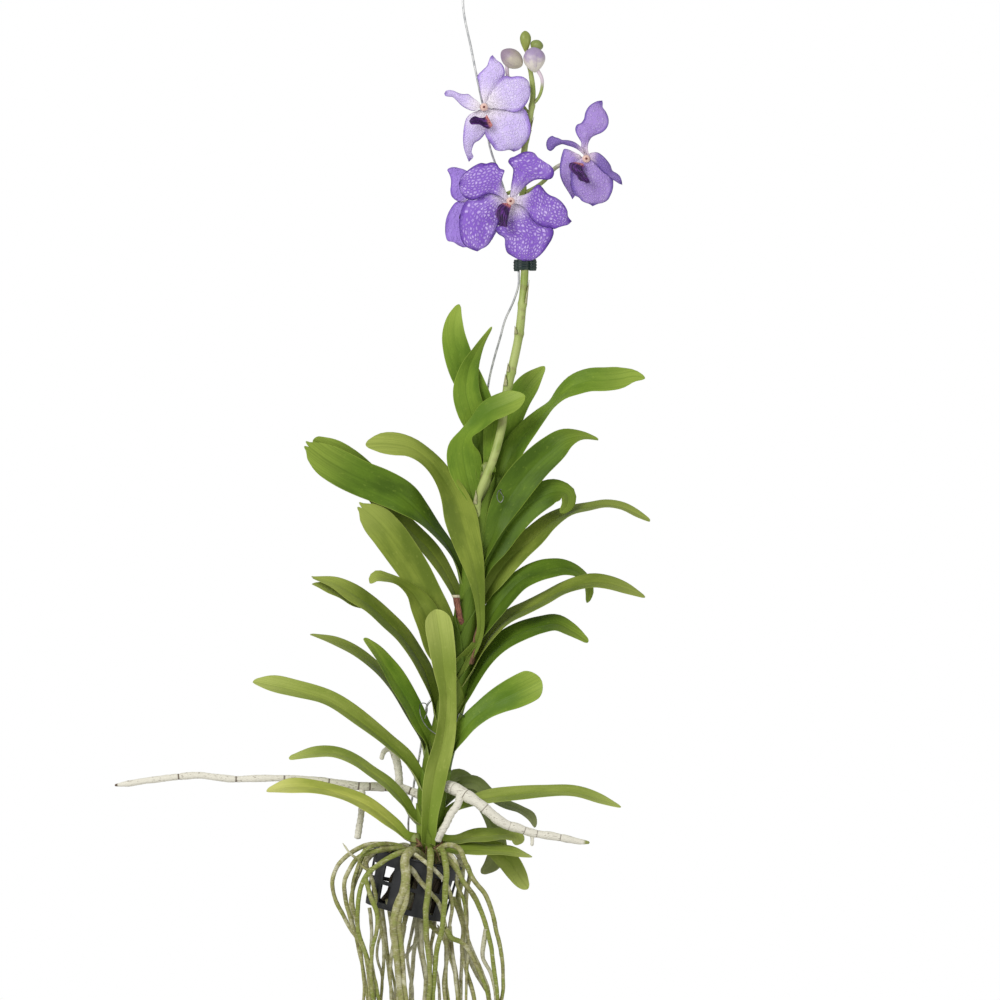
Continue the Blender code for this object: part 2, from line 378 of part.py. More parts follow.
def smooth(rows, count):
    """The rows of a smooth curve through these ones, evenly spaced along its length."""
    rows = np.asarray(rows, float)
    knots = np.r_[0, np.cumsum(np.linalg.norm(np.diff(rows[:, :3], axis=0), axis=1))]
    slopes = np.gradient(rows, knots, axis=0)
    fine = np.linspace(0, knots[-1], 16 * len(rows))
    spot = np.clip(np.searchsorted(knots, fine, side="right") - 1, 0, len(knots) - 2)
    span = (knots[spot + 1] - knots[spot])[:, None]
    t = (fine - knots[spot])[:, None] / span
    curve = (
        (2 * t**3 - 3 * t**2 + 1) * rows[spot]
        + (t**3 - 2 * t**2 + t) * span * slopes[spot]
        + (3 * t**2 - 2 * t**3) * rows[spot + 1]
        + (t**3 - t**2) * span * slopes[spot + 1]
    )
    run = np.r_[0, np.cumsum(np.linalg.norm(np.diff(curve[:, :3], axis=0), axis=1))]
    even = np.linspace(0, run[-1], count)
    return np.column_stack([np.interp(even, run, column) for column in curve.T])


def unit(vectors):
    return vectors / np.linalg.norm(vectors, axis=-1, keepdims=True)


def add_mesh(name, points, faces, finish):
    """A mesh object from points in millimetres, with its faces turned outwards."""
    mesh = bpy.data.meshes.new(name)
    mesh.from_pydata([tuple(p * MM) for p in np.asarray(points)], [], faces)
    mesh.calc_loop_triangles()
    corners = np.array([[mesh.vertices[i].co for i in tri.vertices] for tri in mesh.loop_triangles])
    if np.linalg.det(corners).sum() < 0:
        mesh.flip_normals()
    mesh.shade_smooth()
    mesh.set_sharp_from_angle(angle=math.radians(45))
    mesh.materials.append(material(finish))
    obj = bpy.data.objects.new(name, mesh)
    bpy.context.collection.objects.link(obj)
    return obj


def loft(name, rings, finish):
    """A closed solid through rings of points that all have the same number of corners."""
    count, corners = rings.shape[:2]
    faces = []
    for i in range(count - 1):
        for j in range(corners):
            k = (j + 1) % corners
            faces.append((i * corners + j, i * corners + k, (i + 1) * corners + k, (i + 1) * corners + j))
    faces.append(tuple(range(corners))[::-1])
    faces.append(tuple((count - 1) * corners + j for j in range(corners)))
    return add_mesh(name, rings.reshape(-1, 3), faces, finish)


def blade(name, rows, side, fold, columns, thickness, finish):
    """A leaf or petal along rows of x, y, z, left and right half width, and turn."""
    points = rows[:, :3]
    along = unit(np.gradient(points, axis=0))
    viewer = np.array([0.0, -1.0, 0.0])
    facing = unit(viewer - along * (along @ viewer)[:, None])
    inward = unit(side * np.cross(along, [0, 1, 0]))
    turn = np.radians(rows[:, 5])[:, None]
    normal = np.cos(turn) * facing + np.sin(turn) * inward
    across = np.cross(along, normal)
    rise = math.radians(fold)
    upper, lower = [], []
    for u in columns:
        reach = abs(u) * rows[:, 3 if u < 0 else 4][:, None]
        middle = points + across * np.sign(u) * reach * math.cos(rise) + normal * reach * math.sin(rise)
        half = thickness / 2 * (1 - u * u)
        upper.append(middle + normal * half)
        lower.append(middle - normal * half)
    return loft(name, np.stack(upper + lower[-2:0:-1], axis=1), finish)


def tube(name, rows, sides, finish):
    """A round rod along rows of x, y, z and radius."""
    points = rows[:, :3]
    along = unit(np.gradient(points, axis=0))
    first = np.cross(along[0], [0.31, 0.87, 0.38])
    normals = [first / np.linalg.norm(first)]
    for tangent in along[1:]:
        carried = normals[-1] - tangent * (normals[-1] @ tangent)
        normals.append(carried / np.linalg.norm(carried))
    normals = np.array(normals)
    others = np.cross(along, normals)
    angles = np.arange(sides) * math.tau / sides
    rings = [points + rows[:, 3:4] * (math.cos(a) * normals + math.sin(a) * others) for a in angles]
    return loft(name, np.stack(rings, axis=1), finish)


def ellipsoid(name, centre, radii, rings, sides, finish):
    """A closed egg at a sheet point, with radii along x, sheet y and depth."""
    middle = from_sheet([centre])[0]
    sizes = np.array([radii[0], radii[2], radii[1]])
    points = [middle + sizes * (0, 0, 1)]
    for i in range(1, rings):
        high = math.pi * i / rings
        for j in range(sides):
            way = math.tau * j / sides
            ball = (math.sin(high) * math.cos(way), math.sin(high) * math.sin(way), math.cos(high))
            points.append(middle + sizes * ball)
    points.append(middle - sizes * (0, 0, 1))
    faces = [(0, 1 + j, 1 + (j + 1) % sides) for j in range(sides)]
    for i in range(rings - 2):
        for j in range(sides):
            k = (j + 1) % sides
            top, low = 1 + i * sides, 1 + (i + 1) * sides
            faces.append((top + j, low + j, low + k, top + k))
    last = len(points) - 1
    faces += [(last, last - sides + (j + 1) % sides, last - sides + j) for j in range(sides)]
    return add_mesh(name, np.array(points), faces, finish)


def unite(body, others):
    """One solid from a body and the shapes that grow into it."""
    helpers = bpy.data.collections.new(body.name + "_shapes")
    bpy.context.scene.collection.children.link(helpers)
    for other in others:
        for collection in list(other.users_collection):
            collection.objects.unlink(other)
        helpers.objects.link(hidden(other))
    union = body.modifiers.new("grown_together", "BOOLEAN")
    union.operation = "UNION"
    union.operand_type = "COLLECTION"
    union.collection = helpers
    return body


def carve(body, room):
    """Room in a body for a neighbour that is already in place."""
    cut = body.modifiers.new("room_for_neighbour", "BOOLEAN")
    cut.operation = "DIFFERENCE"
    cut.solver = "MANIFOLD"
    cut.object = room
    return body


def hidden(helper):
    helper.hide_render = True
    helper.display_type = "WIRE"
    return helper


def stem_point(height, angle, side, off):
    """A point beside the stem at a sheet height, at an angle from the side towards the viewer."""
    rows = np.array(STEM[::-1], float)
    x = np.interp(height, rows[:, 1], rows[:, 0])
    depth = np.interp(height, rows[:, 1], rows[:, 2])
    radius = np.interp(height, rows[:, 1], rows[:, 3]) + off
    way = math.radians(angle)
    return (x + side * radius * math.cos(way), height, depth - radius * math.sin(way))


def room_around(name, axis, count, sides):
    """A hidden rod round an axis, one clearance wider than the rod itself."""
    rows = smooth(from_sheet(axis), count)
    rows[:, 3] += CLEARANCE
    return hidden(tube(name, rows, sides, "stem"))


def add_stem():
    """The stem, and the room that everything growing out of it leaves for it."""
    rows = smooth(from_sheet(STEM), 16)
    stem = tube("stem", rows, 14, "stem")
    sheath = tube("old_sheath", smooth(from_sheet(OLD_SHEATH), 6), 8, "stem")
    unite(stem, [sheath])
    return unite(room_around("stem_room", STEM, 16, 14), [room_around("sheath_room", OLD_SHEATH, 6, 8)])


def add_leaves(stem_room):
    for name, side, height, angle, stations in LEAVES:
        base = (*stem_point(height, angle, side, -3), 4, stations[0][4])
        rows = from_sheet([base, *stations])
        rows = np.column_stack([rows[:, :4], rows[:, 3], rows[:, 4]])
        leaf = blade(name, smooth(rows, LEAF_RINGS), side, LEAF_FOLD, (-1, 0, 1), LEAF_THICKNESS, "leaf")
        carve(leaf, stem_room)


def add_spike(stem_room):
    """The flower spike with its bract, and the room that the pedicels leave for it."""
    spike = tube("flower_spike", smooth(from_sheet(SPIKE), 32), 8, "spike")
    bract = smooth(from_sheet(SPIKE_BRACT), 5)
    unite(spike, [tube("spike_bract", bract, 6, "spike")])
    carve(spike, stem_room)
    return room_around("spike_room", SPIKE, 32, 8)


def pedicel_tube(name, points, finish):
    rows = from_sheet([(*point, PEDICEL_RADIUS) for point in points])
    return tube(name, smooth(rows, 8), 6, finish)


def add_buds(spike_room):
    for name, centre, radii, pedicel in BUDS:
        bud = ellipsoid(name, centre, radii, 7, 10, "bud")
        unite(bud, [pedicel_tube(name + "_pedicel", pedicel, "bud")])
        carve(bud, spike_room)


def petal(name, stations, finish):
    rows = smooth(from_sheet(stations), PETAL_RINGS)
    return blade(name, rows, 1, PETAL_CUP, (-1, 0, 1), PETAL_THICKNESS, finish)


def off_the_column(centre, stations):
    """The stations with the first one set on the column's surface, one clearance clear of it."""
    centre = np.array(centre, float)
    way = unit(np.array(stations[0][:3], float) - centre)
    reach = 1 / np.linalg.norm(way / np.array(COLUMN_RADII)) + CLEARANCE
    return [(*(centre + way * reach), *stations[0][3:]), *stations[1:]]


def add_flowers(spike_room):
    """Each flower: sepals, column and pedicel grown together, with two petals and a lip of their own."""
    for name, parts in FLOWERS.items():
        x, y, depth = parts["column"]
        column = ellipsoid(name + "_sepals", parts["column"], COLUMN_RADII, 8, 12, "petal")
        shapes = []
        for i, stations in enumerate(parts["sepals"]):
            rows = [(x, y, depth + 1.5, 2, 2, 0), *stations]
            shapes.append(petal(f"{name}_sepal_{i}", rows, "petal"))
        shapes.append(pedicel_tube(name + "_pedicel", [parts["column"], *parts["pedicel"]], "petal"))
        carve(unite(column, shapes), spike_room)
        for piece in ("petal_left", "petal_right", "lip"):
            if piece in parts:
                rows = off_the_column(parts["column"], parts[piece])
                petal(f"{name}_{piece}", rows, "lip" if piece == "lip" else "petal")


def add_aerial_roots(stem_room):
    for name, strands in (("root_left", ROOT_LEFT), ("root_right", ROOT_RIGHT)):
        tubes = []
        for i, strand in enumerate(strands):
            rows = smooth(from_sheet(strand), 2 * len(strand))
            tubes.append(tube(name if i == 0 else f"{name}_{i}", rows, 8, "white_root"))
        carve(unite(tubes[0], tubes[1:]), stem_room)


def add_hanging_roots(stem_room, basket_room):
    """The crown below the stem and every strand that hangs from it, through and over the basket."""
    crown = ellipsoid("hanging_roots", *CROWN, 6, 12, "green_root")
    strands = []
    for i, (thick, thin, path) in enumerate(HANGING_ROOTS):
        length = np.linalg.norm(np.diff(np.array(path, float), axis=0), axis=1).sum()
        rings = round(length / ROOT_RING_STEP) + 2
        rows = smooth(from_sheet(path), rings)
        radii = thick + (thin - thick) * np.linspace(0, 1, rings) ** 1.5
        strands.append(tube(f"root_strand_{i:02d}", np.column_stack([rows, radii]), ROOT_SIDES, "green_root"))
    unite(crown, strands)
    carve(crown, stem_room)
    carve(crown, basket_room)


def basket_rows():
    """Radius, height and whether the ring below is solid all round, down the wall and in over the foot."""
    drop = BASKET_HEIGHT
    return [
        (BASKET_RADIUS + 2.5, 0.0, True),
        (BASKET_RADIUS, -2.0, True),
        (BASKET_RADIUS - 0.5, -13.0, False),
        (BASKET_RADIUS - 1.3, -28.0, True),
        (BASKET_RADIUS - 1.5, -32.0, False),
        (BASKET_FOOT_RADIUS + 0.4, 5 - drop, True),
        (BASKET_FOOT_RADIUS, -drop, True),
        (BASKET_FOOT_RADIUS - 7, -drop, False),
        (9.0, -drop, True),
    ]


def add_basket():
    """The net basket: a tapered wall with two tiers of windows and a spoked foot."""
    share = (0.3, 0.7)
    angles = []
    for sector in range(BASKET_SECTORS):
        for part in share:
            angles.append(math.radians(BASKET_PHASE + 360 / BASKET_SECTORS * (sector + part)))
    rows = basket_rows()
    points = [(r * math.cos(a), r * math.sin(a), z) for r, z, _ in rows for a in angles]
    sides = len(angles)
    faces = []
    for i, (_, _, solid) in enumerate(rows[:-1]):
        for j in range(sides):
            if solid or j % 2 == 0:
                k = (j + 1) % sides
                faces.append((i * sides + j, (i + 1) * sides + j, (i + 1) * sides + k, i * sides + k))
    faces.append(tuple((len(rows) - 1) * sides + j for j in reversed(range(sides))))
    tilt = math.radians(BASKET_TILT)
    turned = np.array(points)
    x = turned[:, 0] * math.cos(tilt) + turned[:, 2] * math.sin(tilt)
    z = turned[:, 2] * math.cos(tilt) - turned[:, 0] * math.sin(tilt)
    rim = from_sheet([BASKET_RIM])[0]
    placed = np.column_stack([x, turned[:, 1], z]) + rim
    for name, thickness in (("net_basket", BASKET_WALL), ("basket_room", BASKET_WALL + 2 * CLEARANCE)):
        basket = add_mesh(name, placed, faces, "basket")
        wall = basket.modifiers.new("wall", "SOLIDIFY")
        wall.thickness = thickness * MM
        wall.offset = 0
        wall.use_even_offset = False
    return hidden(basket)


def add_hanger():
    """The stiff wire, from the open end of its hook down to the basket."""
    centre = (HOOK_SEAT[0], HOOK_SEAT[1] + HOOK_RADIUS - WIRE_RADIUS)
    hook = [(centre[0] - HOOK_RADIUS - 3, centre[1] + 12, 0)]
    for step in range(9):
        way = math.pi * step / 8
        hook.append((centre[0] - HOOK_RADIUS * math.cos(way), centre[1] - HOOK_RADIUS * math.sin(way), 0))
    rows = smooth(from_sheet(hook + WIRE), 84)
    tube("hanger_wire", np.column_stack([rows, np.full(len(rows), WIRE_RADIUS)]), 6, "wire")


def add_clip():
    """The spring clip: a band round spike and wire, with two finger loops on the right."""
    band = []
    for step in range(13):
        way = math.radians(200 + 320 * step / 12)
        band.append((523 + 7.3 * math.cos(way), 265, 5.1 * math.sin(way)))
    rows = from_sheet(band)
    along = unit(np.gradient(rows, axis=0))
    out = np.cross(along, [0, 0, 1])
    rings = []
    for height, depth in ((5, 0.6), (5, -0.6), (-5, -0.6), (-5, 0.6)):
        rings.append(rows + out * depth + np.array([0, 0, height]))
    loft("spike_clip", np.stack(rings, axis=1), "clip")


def add_old_stalk(stem_room):
    carve(tube("old_stalk", smooth(from_sheet(OLD_STALK), 8), 8, "stub"), stem_room)


def main():
    clear_scene()
    stem_room = add_stem()
    add_leaves(stem_room)
    spike_room = add_spike(stem_room)
    add_buds(spike_room)
    add_flowers(spike_room)
    add_aerial_roots(stem_room)
    basket_room = add_basket()
    add_hanging_roots(stem_room, basket_room)
    add_hanger()
    add_clip()
    add_old_stalk(stem_room)


main()
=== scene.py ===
"""Looks of a vanda orchid in flower, bare-rooted round a small net basket and hanging on its wire.

Places are set out on an upright drawing sheet, in millimetres: x to the right, y down and depth away from
the viewer. The seat of the wire's hook lies at HOOK_SEAT on the sheet and is the object's own origin.
"""

import logging
import math
from collections.abc import Sequence
from dataclasses import dataclass, field
from enum import Enum

import bpy
import numpy as np
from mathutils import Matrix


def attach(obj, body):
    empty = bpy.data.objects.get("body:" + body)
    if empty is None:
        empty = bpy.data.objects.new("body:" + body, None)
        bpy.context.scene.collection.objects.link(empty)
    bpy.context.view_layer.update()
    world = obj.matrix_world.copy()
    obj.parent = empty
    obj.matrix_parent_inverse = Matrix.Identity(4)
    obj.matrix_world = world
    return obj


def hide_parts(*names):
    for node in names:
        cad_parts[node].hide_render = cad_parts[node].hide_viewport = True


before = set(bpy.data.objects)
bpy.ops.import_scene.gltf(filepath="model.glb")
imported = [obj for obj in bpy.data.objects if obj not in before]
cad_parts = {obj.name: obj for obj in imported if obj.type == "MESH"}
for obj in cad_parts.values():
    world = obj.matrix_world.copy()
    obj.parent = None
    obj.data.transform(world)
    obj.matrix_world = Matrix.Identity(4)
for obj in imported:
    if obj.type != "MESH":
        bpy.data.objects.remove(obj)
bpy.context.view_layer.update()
LOG = logging.getLogger("vanda")

MM = 0.001
HOOK_SEAT = (450.0, -65.0)
VIEWER = np.array([0.0, -1.0, 0.0])

Array = np.ndarray
Tint = tuple[float, float, float]
Rows = Sequence[Sequence[float]]
Socket = bpy.types.NodeSocket
Material = bpy.types.Material
Signal = Socket | float | tuple


# Sheet, curves and meshes


def on_axes(rows: Rows) -> Array:
    """Turns sheet rows to the object's own axes, still in millimetres.

    Args:
        rows: x, y, depth and anything more for each point.

    Returns:
        The rows with their first three columns along the object's X, Y and Z.
    """
    rows = np.array(rows, float)
    placed = rows.copy()
    placed[:, 0] = rows[:, 0] - HOOK_SEAT[0]
    placed[:, 1] = rows[:, 2]
    placed[:, 2] = HOOK_SEAT[1] - rows[:, 1]
    return placed


def unit(vectors: Array) -> Array:
    """Returns the vectors at length one."""
    return vectors / np.maximum(np.linalg.norm(vectors, axis=-1, keepdims=True), 1e-9)


def smooth(rows: Rows, count: int, width: int = 3) -> Array:
    """Draws a smooth curve through the rows.

    Args:
        rows: The points, with anything that goes with them in later columns.
        count: How many rows to return, evenly spaced along the curve.
        width: How many of the first columns are the place.

    Returns:
        The rows of the curve.
    """
    rows = np.asarray(rows, float)
    knots = np.r_[0, np.cumsum(np.linalg.norm(np.diff(rows[:, :width], axis=0), axis=1))]
    slopes = np.gradient(rows, knots, axis=0)
    fine = np.linspace(0, knots[-1], 16 * len(rows))
    spot = np.clip(np.searchsorted(knots, fine, side="right") - 1, 0, len(knots) - 2)
    span = (knots[spot + 1] - knots[spot])[:, None]
    t = (fine - knots[spot])[:, None] / span
    curve = (
        (2 * t**3 - 3 * t**2 + 1) * rows[spot]
        + (t**3 - 2 * t**2 + t) * span * slopes[spot]
        + (3 * t**2 - 2 * t**3) * rows[spot + 1]
        + (t**3 - t**2) * span * slopes[spot + 1]
    )
    run = np.r_[0, np.cumsum(np.linalg.norm(np.diff(curve[:, :width], axis=0), axis=1))]
    even = np.linspace(0, run[-1], count)
    return np.column_stack([np.interp(even, run, column) for column in curve.T])


def ease(value: Array | float, low: float, high: float) -> Array | float:
    """Returns how far the value has gone from low to high, from 0 to 1, starting and ending gently."""
    share = np.clip((value - low) / (high - low), 0, 1)
    return share * share * (3 - 2 * share)


def wrap(front: Array, back: Array) -> Array:
    """Returns one ring for each row: the front's columns, then the back's inner ones on the way home."""
    return np.concatenate([front, back[:, -2:0:-1]], axis=1)


def sheet_faces(rows: int, columns: int) -> list[tuple[int, ...]]:
    """Faces of a thin closed sheet made by wrap.

    Args:
        rows: How many rings there are.
        columns: How many columns the front has.

    Returns:
        The faces, as indices into the rings laid end to end.
    """
    width = 2 * columns - 2
    faces = ring_faces(rows, width)
    for start, order in ((0, -1), ((rows - 1) * width, 1)):
        for j in range(columns - 1):
            corners = list(dict.fromkeys([j, j + 1, (width - j - 1) % width, (width - j) % width]))
            faces.append(tuple(start + corner for corner in corners[::order]))
    return faces


def ring_faces(rows: int, width: int) -> list[tuple[int, ...]]:
    """Joins rings that all have the same number of points.

    Args:
        rows: The number of rings.
        width: The number of points in each.

    Returns:
        The side faces, as indices.
    """
    faces = []
    for i in range(rows - 1):
        for j in range(width):
            k = (j + 1) % width
            faces.append((i * width + j, i * width + k, (i + 1) * width + k, (i + 1) * width + j))
    return faces


def signed_volume(points: Array, faces: Sequence[tuple[int, ...]]) -> float:
    """Measures six times the volume inside the faces.

    Args:
        points: The points.
        faces: The faces, as indices into the points.

    Returns:
        The measure, below zero where the faces point inwards.
    """
    fans = np.array([(f[0], f[i], f[i + 1]) for f in faces for i in range(1, len(f) - 1)])
    corners = points[fans] - points.mean(axis=0)
    return float(np.einsum("ij,ij->i", corners[:, 0], np.cross(corners[:, 1], corners[:, 2])).sum())


class Shells:
    """Closed shells gathered into one piece, with two notes of place for every point.

    The note spot holds across, along and under as shares, and the note lay holds the way across and along
    in millimetres with a seed that tells one piece of growth from the next.
    """

    def __init__(self) -> None:
        """Starts with nothing in the piece."""
        self.points: list[Array] = []
        self.faces: list[tuple[int, ...]] = []
        self.slots: list[int] = []
        self.notes: dict[str, list[Array]] = {"spot": [], "lay": []}
        self.count = 0

    def add(
        self, points: Array, faces: list[tuple[int, ...]], spot: Array, lay: Array, slot: int = 0
    ) -> None:
        """Adds one closed shell, turned so that its faces point outwards.

        Args:
            points: The points in millimetres.
            faces: The faces, as indices into the points.
            spot: The across, along and under share of each point.
            lay: The across and along millimetres and the seed of each point.
            slot: The place of its finish among the piece's finishes.
        """
        order = 1 if signed_volume(points, faces) > 0 else -1
        self.faces += [tuple(self.count + i for i in face[::order]) for face in faces]
        self.slots += [slot] * len(faces)
        self.points.append(points)
        self.notes["spot"].append(spot)
        self.notes["lay"].append(lay)
        self.count += len(points)

    def add_sheet(
        self, front: Array, back: Array, across: Array | float = 0.0, along: Array | float = 0.0,
        reach: Array | float = 0.0, run: Array | float = 0.0, seed: float = 0.0
    ) -> None:
        """Adds a thin closed sheet from its front and back grids.

        Args:
            front: The front's points, by row and column.
            back: The back's points, by row and column.
            across: The share across, for every point or column.
            along: The share along, for every point or row.
            reach: The millimetres across.
            run: The millimetres along.
            seed: The seed noted for its points.
        """
        rows, columns = front.shape[:2]
        grid = np.ones((rows, columns))
        spots = [np.stack([grid * across, grid * along, grid * under], axis=2) for under in (0, 1)]
        lays = np.stack([grid * reach, grid * run, grid * seed], axis=2)
        self.add(
            wrap(front, back).reshape(-1, 3),
            sheet_faces(rows, columns),
            wrap(*spots).reshape(-1, 3),
            wrap(lays, lays).reshape(-1, 3),
        )

    def add_rod(self, rings: Array, slot: int = 0, seed: float = 0.0) -> None:
        """Adds a closed rod through rings of points, its ends drawn to a point in their middles.

        Args:
            rings: The points, by ring and by place round the ring.
            slot: The place of its finish among the piece's finishes.
            seed: The seed noted for its points.
        """
        count, sides = rings.shape[:2]
        ends = np.stack([rings[0].mean(axis=0), rings[-1].mean(axis=0)])
        points = np.concatenate([rings.reshape(-1, 3), ends])
        faces = ring_faces(count, sides)
        last = (count - 1) * sides
        for j in range(sides):
            k = (j + 1) % sides
            faces.append((k, j, count * sides))
            faces.append((last + j, last + k, count * sides + 1))
        run = np.r_[0, np.cumsum(np.linalg.norm(np.diff(rings.mean(axis=1), axis=0), axis=1))]
        along = np.r_[np.repeat(run, sides), 0, run[-1]]
        around = np.r_[np.tile(np.arange(sides) / sides, count), 0, 0]
        spot = np.column_stack([around, along / max(run[-1], 1e-6), np.zeros(len(along))])
        self.add(points, faces, spot, np.column_stack([around, along, np.full(len(along), seed)]), slot)

    def piece(self, name: str, *finishes: Material) -> bpy.types.Object:
        """Makes the gathered shells one object in metres.

        Args:
            name: The piece's name.
            finishes: Its materials, in the order of the slots.

        Returns:
            The new object, at the origin.
        """
        mesh = bpy.data.meshes.new(name)
        mesh.from_pydata(np.concatenate(self.points) * MM, [], self.faces)
        for note, values in self.notes.items():
            layer = mesh.attributes.new(note, "FLOAT_VECTOR", "POINT")
            layer.data.foreach_set("vector", np.concatenate(values).astype(np.float32).ravel())
        for finish in finishes:
            mesh.materials.append(finish)
        mesh.polygons.foreach_set("material_index", self.slots)
        mesh.shade_smooth()
        made = bpy.data.objects.new(name, mesh)
        bpy.context.scene.collection.objects.link(made)
        return made


def present(piece: bpy.types.Object, slot: str, *nodes: str) -> bpy.types.Object:
    """Hands a finished piece over to the frame.

    Args:
        piece: The finished piece.
        slot: The record's material slot that it takes its finish from; not used.
        nodes: The frame's nodes that it stands for.

    Returns:
        The same piece.
    """
    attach(piece, "root")
    if nodes:
        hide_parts(*nodes)
    LOG.info("%s: %d faces", piece.name, len(piece.data.polygons))
    return piece


# Node trees


class Tree:
    """A node tree that is wired step by step."""

    def __init__(self, tree: bpy.types.NodeTree) -> None:
        """Starts on a tree that exists."""
        self.tree = tree

    def feed(self, socket: Socket, value: Signal | bpy.types.ID) -> None:
        """Gives a socket its value.

        Args:
            socket: The socket.
            value: A fixed value, or another socket to link.
        """
        if isinstance(value, Socket):
            self.tree.links.new(value, socket)
        else:
            socket.default_value = value

    def add(
        self, kind: str, inputs: dict[str | int, Signal] | None = None, **settings: object
    ) -> bpy.types.Node:
        """Adds one node.

        Args:
            kind: The node's type.
            inputs: What feeds its inputs, by name or place.
            settings: Its own settings.

        Returns:
            The node.
        """
        node = self.tree.nodes.new(kind)
        for key, value in settings.items():
            setattr(node, key, value)
        for key, value in (inputs or {}).items():
            self.feed(node.inputs[key], value)
        return node

    def maths(self, operation: str, a: Signal, b: Signal = 0.0, c: Signal = 0.0) -> Socket:
        """Returns the result of one sum."""
        return self.add("ShaderNodeMath", {0: a, 1: b, 2: c}, operation=operation).outputs[0]

    def noise(self, place: Signal, scale: float, detail: float = 2.0) -> Socket:
        """Returns a soft random value that changes from place to place."""
        steps = {"Vector": place, "Scale": scale, "Detail": detail}
        return self.add("ShaderNodeTexNoise", steps).outputs["Fac"]

    def fade(
        self, value: Signal, low: float, high: float, start: float = 0.0, end: float = 1.0
    ) -> Socket:
        """Carries a value gently from one pair of limits to another.

        Args:
            value: The value.
            low: Where the change starts.
            high: Where it ends.
            start: The result before it starts.
            end: The result after it ends.

        Returns:
            The result's socket.
        """
        limits = {"Value": value, "From Min": low, "From Max": high, "To Min": start, "To Max": end}
        return self.add("ShaderNodeMapRange", limits, interpolation_type="SMOOTHSTEP").outputs[0]


class Recipe(Tree):
    """A material under construction."""

    def __init__(self, name: str) -> None:
        """Starts a named material with a plain shader."""
        self.material = bpy.data.materials.new(name)
        self.material.use_nodes = True
        super().__init__(self.material.node_tree)
        self.shader = self.tree.nodes["Principled BSDF"]

    def note(self, name: str) -> tuple[Socket, ...]:
        """Returns the three values of one of the piece's notes."""
        read = self.add("ShaderNodeAttribute", attribute_name=name)
        parts = self.add("ShaderNodeSeparateXYZ", {0: read.outputs["Vector"]})
        return tuple(parts.outputs)

    def place(self) -> Socket:
        """Returns the place on the object, in metres."""
        return self.add("ShaderNodeTexCoord").outputs["Object"]

    def point(self, x: Signal, y: Signal, z: Signal) -> Socket:
        """Returns a point made of three values."""
        return self.add("ShaderNodeCombineXYZ", {0: x, 1: y, 2: z}).outputs[0]

    def stretched(self, wide: float, tall: float) -> Socket:
        """Returns the place on the object, stretched across and up by two factors."""
        return self.add("ShaderNodeMapping", {"Vector": self.place(), "Scale": (wide, wide, tall)}).outputs[0]

    def weave(
        self, reach: Signal, run: Signal, shift: Signal, wide: float, long: float, detail: float = 2.0
    ) -> Socket:
        """Makes a soft random value that follows a piece's own length.

        Args:
            reach: The way across the piece, in millimetres.
            run: The way along it.
            shift: What tells one piece from the next.
            wide: How fast the value changes across.
            long: How fast it changes along.
            detail: How fine its detail is.

        Returns:
            The value's socket.
        """
        place = self.point(self.maths("MULTIPLY", reach, wide), self.maths("MULTIPLY", run, long), shift)
        return self.noise(place, 1.0, detail)

    def sway(self, value: Signal, cloud: Signal, by: float) -> Socket:
        """Returns a value pushed up and down by a soft random one."""
        return self.maths("ADD", value, self.maths("MULTIPLY", self.maths("SUBTRACT", cloud, 0.5), by))

    def coat(
        self, colour: Signal, over: Signal, value: Signal, low: float, high: float, share: float = 1.0
    ) -> Socket:
        """Lays one colour over another.

        Args:
            colour: The colour below.
            over: The colour laid over it.
            value: What says where it lies.
            low: The value at which it starts.
            high: The value at which it covers most.
            share: How much it covers there.

        Returns:
            The colour's socket.
        """
        return self.tint(self.fade(value, low, high, 0.0, share), colour, over)

    def tint(self, share: Signal, first: Signal, second: Signal) -> Socket:
        """Mixes two colours.

        Args:
            share: How much of the second colour there is.
            first: The colour at a share of 0.
            second: The colour at a share of 1.

        Returns:
            The mixed colour's socket.
        """
        pair = {0: share}
        for place, colour in ((6, first), (7, second)):
            pair[place] = (*colour, 1.0) if isinstance(colour, tuple) else colour
        return self.add("ShaderNodeMix", pair, data_type="RGBA").outputs[2]

    def finish(
        self, colour: Signal, roughness: Signal, height: Signal, relief_mm: float, **fixed: float
    ) -> Material:
        """Wires the shader and returns the material.

        Args:
            colour: The colour's socket.
            roughness: The roughness.
            height: The height of the fine relief, from 0 to 1.
            relief_mm: How deep the fine relief is, in millimetres.
            fixed: Values that are the same all over, by input name with _ for a space.

        Returns:
            The material.
        """
        self.feed(self.shader.inputs["Base Color"], colour)
        self.feed(self.shader.inputs["Roughness"], roughness)
        bump = self.add("ShaderNodeBump", {"Strength": 1.0, "Distance": relief_mm * MM, "Height": height})
        self.feed(self.shader.inputs["Normal"], bump.outputs[0])
        for name, value in fixed.items():
            self.feed(self.shader.inputs[name.replace("_", " ")], value)
        return self.material


# Finishes


